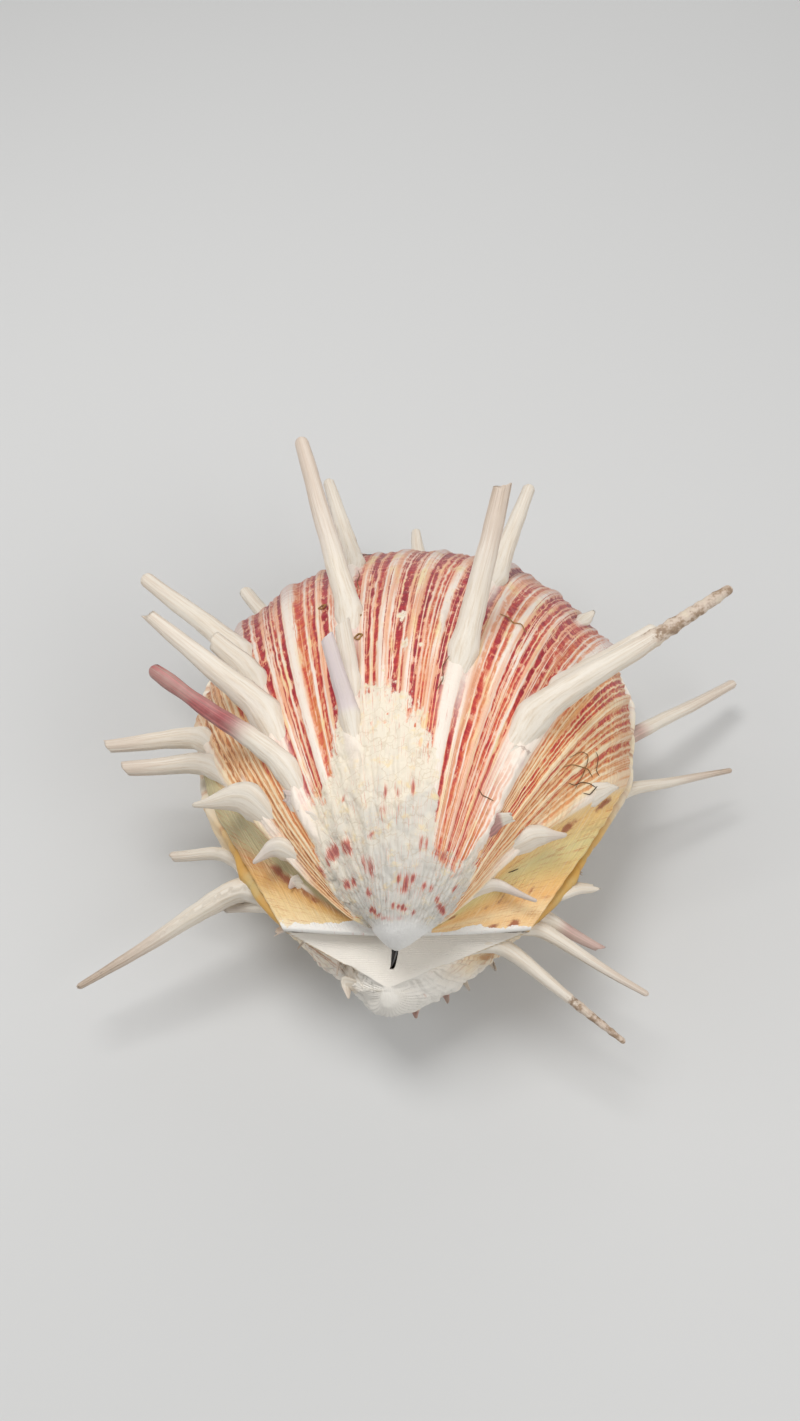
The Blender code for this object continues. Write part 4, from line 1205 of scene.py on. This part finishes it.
lowerFinish = {
    "ground": "eddcb8",
    "deep": "cfa050",
    "pale": "eee6da",
    "stripe": ((0.0, "a5563c"), (0.5, "b9703f"), (1.0, "c98f56")),
    "white": "e2ddd4",
    "ivory": "ece5da",
    "olive": "c4bb88",
    "stain": "a9633a",
    "rusty": "c08a58",
    # The seam colour is painted shade, along the gap at the hinge
    "seam": "57493c",
    "slit": "120d0a",
}


def lowerMaterial():
    look = {key: tone(code) for key, code in lowerFinish.items() if key != "stripe"}
    s = Shader("lower valve shell", 0.45, 0.45, 0.06)
    rib, growth = s.field("rib"), s.field("growth")
    point = s.objectPoint()
    strength, hue = stripeRamps(s, rib, lowerValve["stripes"])
    breaks = s.cloud(s.vector(s.times(rib, 0.7), s.times(growth, 9)), 1.0, 3, 0.6)
    share = s.times(strength, s.remap(breaks, 0.4, 0.6, 0.05, 0.85))
    stripe = s.ramp(hue, [(place, tone(code)) for place, code in lowerFinish["stripe"]])
    cloudy = s.cloud(point, 120, 4, 0.6)
    rough = s.cloud(point, 420, 5, 0.62)
    ground = s.blend(s.remap(cloudy, 0.35, 0.65), look["ground"], look["pale"])
    ground = s.blend(s.field("flank"), ground, look["deep"])
    colour = s.blend(s.times(share, s.remap(s.field("flank"), 0, 1, 1, 0.25)), ground, stripe)
    colour = s.blend(s.times(s.remap(cloudy, 0.42, 0.72, 0, 0.6), s.field("flank")), colour, look["olive"])
    colour = s.blend(s.field("white"), colour, look["white"])
    colour = s.blend(s.times(s.field("bare"), 0.85), colour, look["pale"])
    rusty = s.frayed(s.field("rusty"), rough, 0.25)
    colour = s.blend(s.remap(rusty, 0.25, 0.9, 0, 0.75), colour, look["rusty"])
    stain = s.times(s.remap(rough, 0.58, 0.7), s.remap(cloudy, 0.5, 0.65, 0, 0.6))
    colour = s.blend(stain, colour, look["stain"])
    ivory = s.blend(s.remap(cloudy, 0.4, 0.7, 0, 0.5), look["ivory"], look["white"])
    colour = s.blend(s.field("triangle"), colour, ivory)
    # A broken dark line along the hinge edge of the triangle: painted shade of the gap where the upper valve
    # meets it
    hinge = s.times(s.remap(growth, 0.975, 0.992), s.field("triangle"))
    colour = s.blend(s.times(hinge, s.remap(rough, 0.42, 0.6, 0.15, 0.8)), colour, look["seam"])
    colour = s.blend(s.remap(s.field("slit"), 0.25, 0.6), colour, look["slit"])
    fine = s.cloud(s.vector(s.times(rib, 0.15), s.times(growth, 180)), 1.0, 2)
    normal = s.bump(fine, 0.3, 0.0004)
    normal = s.bump(rough, 0.25, 0.0005, normal)
    return s.finish(colour, normal)


spineFinish = {
    "ivory": "e8dfd1",
    "bone": "dccdb7",
    "shade": "c9baa4",
    "pink": "b96664",
    "rose": "8c3c41",
    "beige": "d2bfae",
    "brown": "a08468",
    "umber": "6b5140",
    "lilac": "ddcfcd",
    "core": "b9a487",
}


def spineMaterial():
    look = {key: tone(code) for key, code in spineFinish.items()}
    s = Shader("spine shell", 0.5, 0.4, 0.08)
    point = s.objectPoint()
    around = s.times(s.field("around"), 2 * math.pi)
    ringX, ringY = (s.times(s.number(way, around), 4.0) for way in ("COSINE", "SINE"))
    ring = s.vector(ringX, ringY, s.times(s.field("reach"), 0.07))
    streak = s.cloud(ring, 1.0, 4, 0.65)
    cloudy = s.cloud(point, 160, 3, 0.55)
    rough = s.cloud(point, 900, 4, 0.6)
    colour = s.blend(s.remap(streak, 0.4, 0.68, 0, 0.8), look["ivory"], look["bone"])
    colour = s.blend(s.remap(streak, 0.62, 0.75, 0, 0.5), colour, look["shade"])
    colour = s.blend(s.times(s.field("lilac"), s.remap(cloudy, 0.3, 0.6, 0.6, 1)), colour, look["lilac"])
    pinkish = s.blend(s.remap(streak, 0.35, 0.6), look["pink"], look["rose"])
    colour = s.blend(s.times(s.field("pink"), s.remap(cloudy, 0.3, 0.7, 0.75, 1)), colour, pinkish)
    soil = s.frayed(s.field("soil"), streak, 0.2)
    colour = s.blend(s.remap(soil, 0.02, 0.4, 0, 0.75), colour, look["beige"])
    brown = s.blend(s.remap(rough, 0.5, 0.66), look["brown"], look["umber"])
    colour = s.blend(s.remap(soil, 0.42, 0.85, 0, 0.9), colour, brown)
    crusty = s.frayed(s.field("crust"), rough, 0.3)
    patches = s.plus(s.times(rough, 0.35), s.times(s.cloud(point, 300, 3, 0.55), 0.65))
    stops = ((0.40, "bone"), (0.49, "beige"), (0.55, "brown"), (0.66, "umber"))
    mottled = s.ramp(patches, [(place, look[name]) for place, name in stops])
    colour = s.blend(s.remap(crusty, 0.3, 0.6, 0, 0.9), colour, mottled)
    colour = s.blend(s.remap(s.field("core"), 0.3, 1.0, 0, 0.5), colour, look["core"])
    normal = s.bump(streak, 0.45, 0.0006)
    normal = s.bump(rough, 0.25, 0.0003, normal)
    return s.finish(colour, normal)


def ligamentMaterial():
    s = Shader("dark ligament", 0.38, 0.5, 0.2)
    point = s.objectPoint()
    cloudy = s.cloud(point, 900, 4, 0.6)
    colour = s.blend(s.remap(cloudy, 0.4, 0.7), tone("0d0907"), tone("2c1d14"))
    return s.finish(colour, s.bump(cloudy, 0.5, 0.0004))


# Dark ligament in the slit of the triangle: narrow at its foot and bent to the left there
# Its course is the place across in millimetres, the growth and the half width
ligamentForm = {
    "course": (
        (-1.72, 0.99, 0.78), (-1.75, 0.8, 0.72), (-1.95, 0.62, 0.6), (-2.4, 0.47, 0.45), (-2.9, 0.36, 0.25),
    ),
    "steps": 34,
    "sink": 0.35,
    "around": 16,
}


def buildLigament():
    bm = bmesh.new()
    rows = np.array(ligamentForm["course"])
    steps = np.linspace(0, 1, ligamentForm["steps"])
    knots = np.linspace(0, 1, len(rows))
    across, age, half = (np.interp(steps, knots, rows[:, k]) for k in range(3))
    left, right = hingeEdges(age)
    share = (across - left[:, 0]) / (right[:, 0] - left[:, 0])
    middle = left + (right - left) * share[:, None]
    around = ligamentForm["around"]
    angles = np.linspace(0, 2 * math.pi, around + 1)
    angles[-1] = 0.0
    grid = np.zeros((around + 1, len(steps), 3))
    for k, place in enumerate(middle):
        sink = triangleSag(share[k], age[k]) + ligamentForm["sink"]
        for i, angle in enumerate(angles):
            rough = noise.noise(Vector((math.cos(angle), math.sin(angle), k * 0.4)))
            swell = half[k] * (1 + 0.12 * rough)
            grid[i, k] = place - form["triangleFace"] * (sink - 0.6 * math.sin(angle) * swell)
            grid[i, k, 0] += swell * math.cos(angle)
    closeTube(bm, grownGrid(bm, grid, {}), around)
    bmesh.ops.holes_fill(bm, edges=[e for e in bm.edges if e.is_boundary], sides=0)
    bmesh.ops.recalc_face_normals(bm, faces=bm.faces[:])
    return bm


def threadMaterial():
    s = Shader("dried threads", 0.7, 0.3)
    colour = s.blend(s.field("tone"), tone("4a3828"), tone("a8824f"))
    return s.finish(colour, s.bump(s.cloud(s.objectPoint(), 2500, 2), 0.4, 0.0002))


upperShell = addPiece(buildUpperValve(), "upper_valve_shell", upperMaterial())
lowerShell = addPiece(buildLowerValve(), "lower_valve_shell", lowerMaterial())
spineLook = spineMaterial()
for kind, tables in (("spines", (upperSpines, lowerSpines)), ("scales", (upperScales, lowerScales))):
    for rows, surface, sign, valve in zip(tables, (upperSurface, lowerSurface), (1, -1), ("upper", "lower")):
        grownSet = buildSpines(rows, surface, sign, valve + " " + kind)
        addPiece(grownSet, valve + "_valve_" + kind, spineLook)
addPiece(buildThreads(), "upper_valve_threads", threadMaterial())
ligament = addPiece(buildLigament(), "ligament_core", ligamentMaterial())
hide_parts("upper_valve")
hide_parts("lower_valve")
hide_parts("hinge_ligament")

# Camera as the photograph's: in front of the hinge, 58 degrees above the floor
camera = {"target": (-1.0, 52.2, 0.0), "distance": 250.0, "above": 58.0, "lens": 29.69}


def addCamera():
    target = toRow @ Vector(camera["target"])
    above = math.radians(camera["above"])
    back = Vector((0, -math.cos(above), math.sin(above)))
    data = bpy.data.cameras.new("view")
    data.sensor_width = 36
    data.lens = camera["lens"]
    data.clip_start = 0.01
    data.clip_end = 20
    made = bpy.data.objects.new("view", data)
    made.location = target + back * camera["distance"] * mm
    made.rotation_euler = (-back).to_track_quat("-Z", "Y").to_euler()
    bpy.context.scene.collection.objects.link(made)
    bpy.context.scene.camera = made


studio = {
    "floor": "cfcfce",
    "key": {"place": (-0.14, 0.12, 0.66), "size": 0.30, "power": 2.2},
    "fill": {"place": (0.44, -0.30, 0.42), "size": 0.5, "power": 1.8},
    "side": {"place": (-0.50, -0.04, 0.32), "size": 0.4, "power": 0.7},
    "rear": {"place": (0.15, 0.62, 0.45), "size": 0.5, "power": 0.8},
    "sky": 0.27,
}


def addStudio():
    bm = bmesh.new()
    bmesh.ops.create_grid(bm, x_segments=1, y_segments=1, size=3.0)
    mesh = bpy.data.meshes.new("floor")
    bm.to_mesh(mesh)
    bm.free()
    floor = bpy.data.objects.new("floor", mesh)
    bpy.context.scene.collection.objects.link(floor)
    paper = Shader("pale floor", 0.8, 0.2)
    paper.surface.inputs["Base Color"].default_value = tone(studio["floor"])
    mesh.materials.append(paper.material)
    for name in ("key", "fill", "side", "rear"):
        settings = studio[name]
        data = bpy.data.lights.new(name, "AREA")
        data.shape = "DISK"
        data.size = settings["size"]
        data.energy = settings["power"]
        lamp = bpy.data.objects.new(name, data)
        lamp.location = settings["place"]
        lamp.rotation_euler = (-Vector(settings["place"])).to_track_quat("-Z", "Y").to_euler()
        bpy.context.scene.collection.objects.link(lamp)
    world = bpy.data.worlds.new("studio sky")
    world.use_nodes = True
    world.node_tree.nodes["Background"].inputs["Color"].default_value = (1, 1, 1, 1)
    world.node_tree.nodes["Background"].inputs["Strength"].default_value = studio["sky"]
    bpy.context.scene.world = world
    bpy.context.scene.view_settings.view_transform = "Standard"


addCamera()
addStudio()
print("camera and light placed")
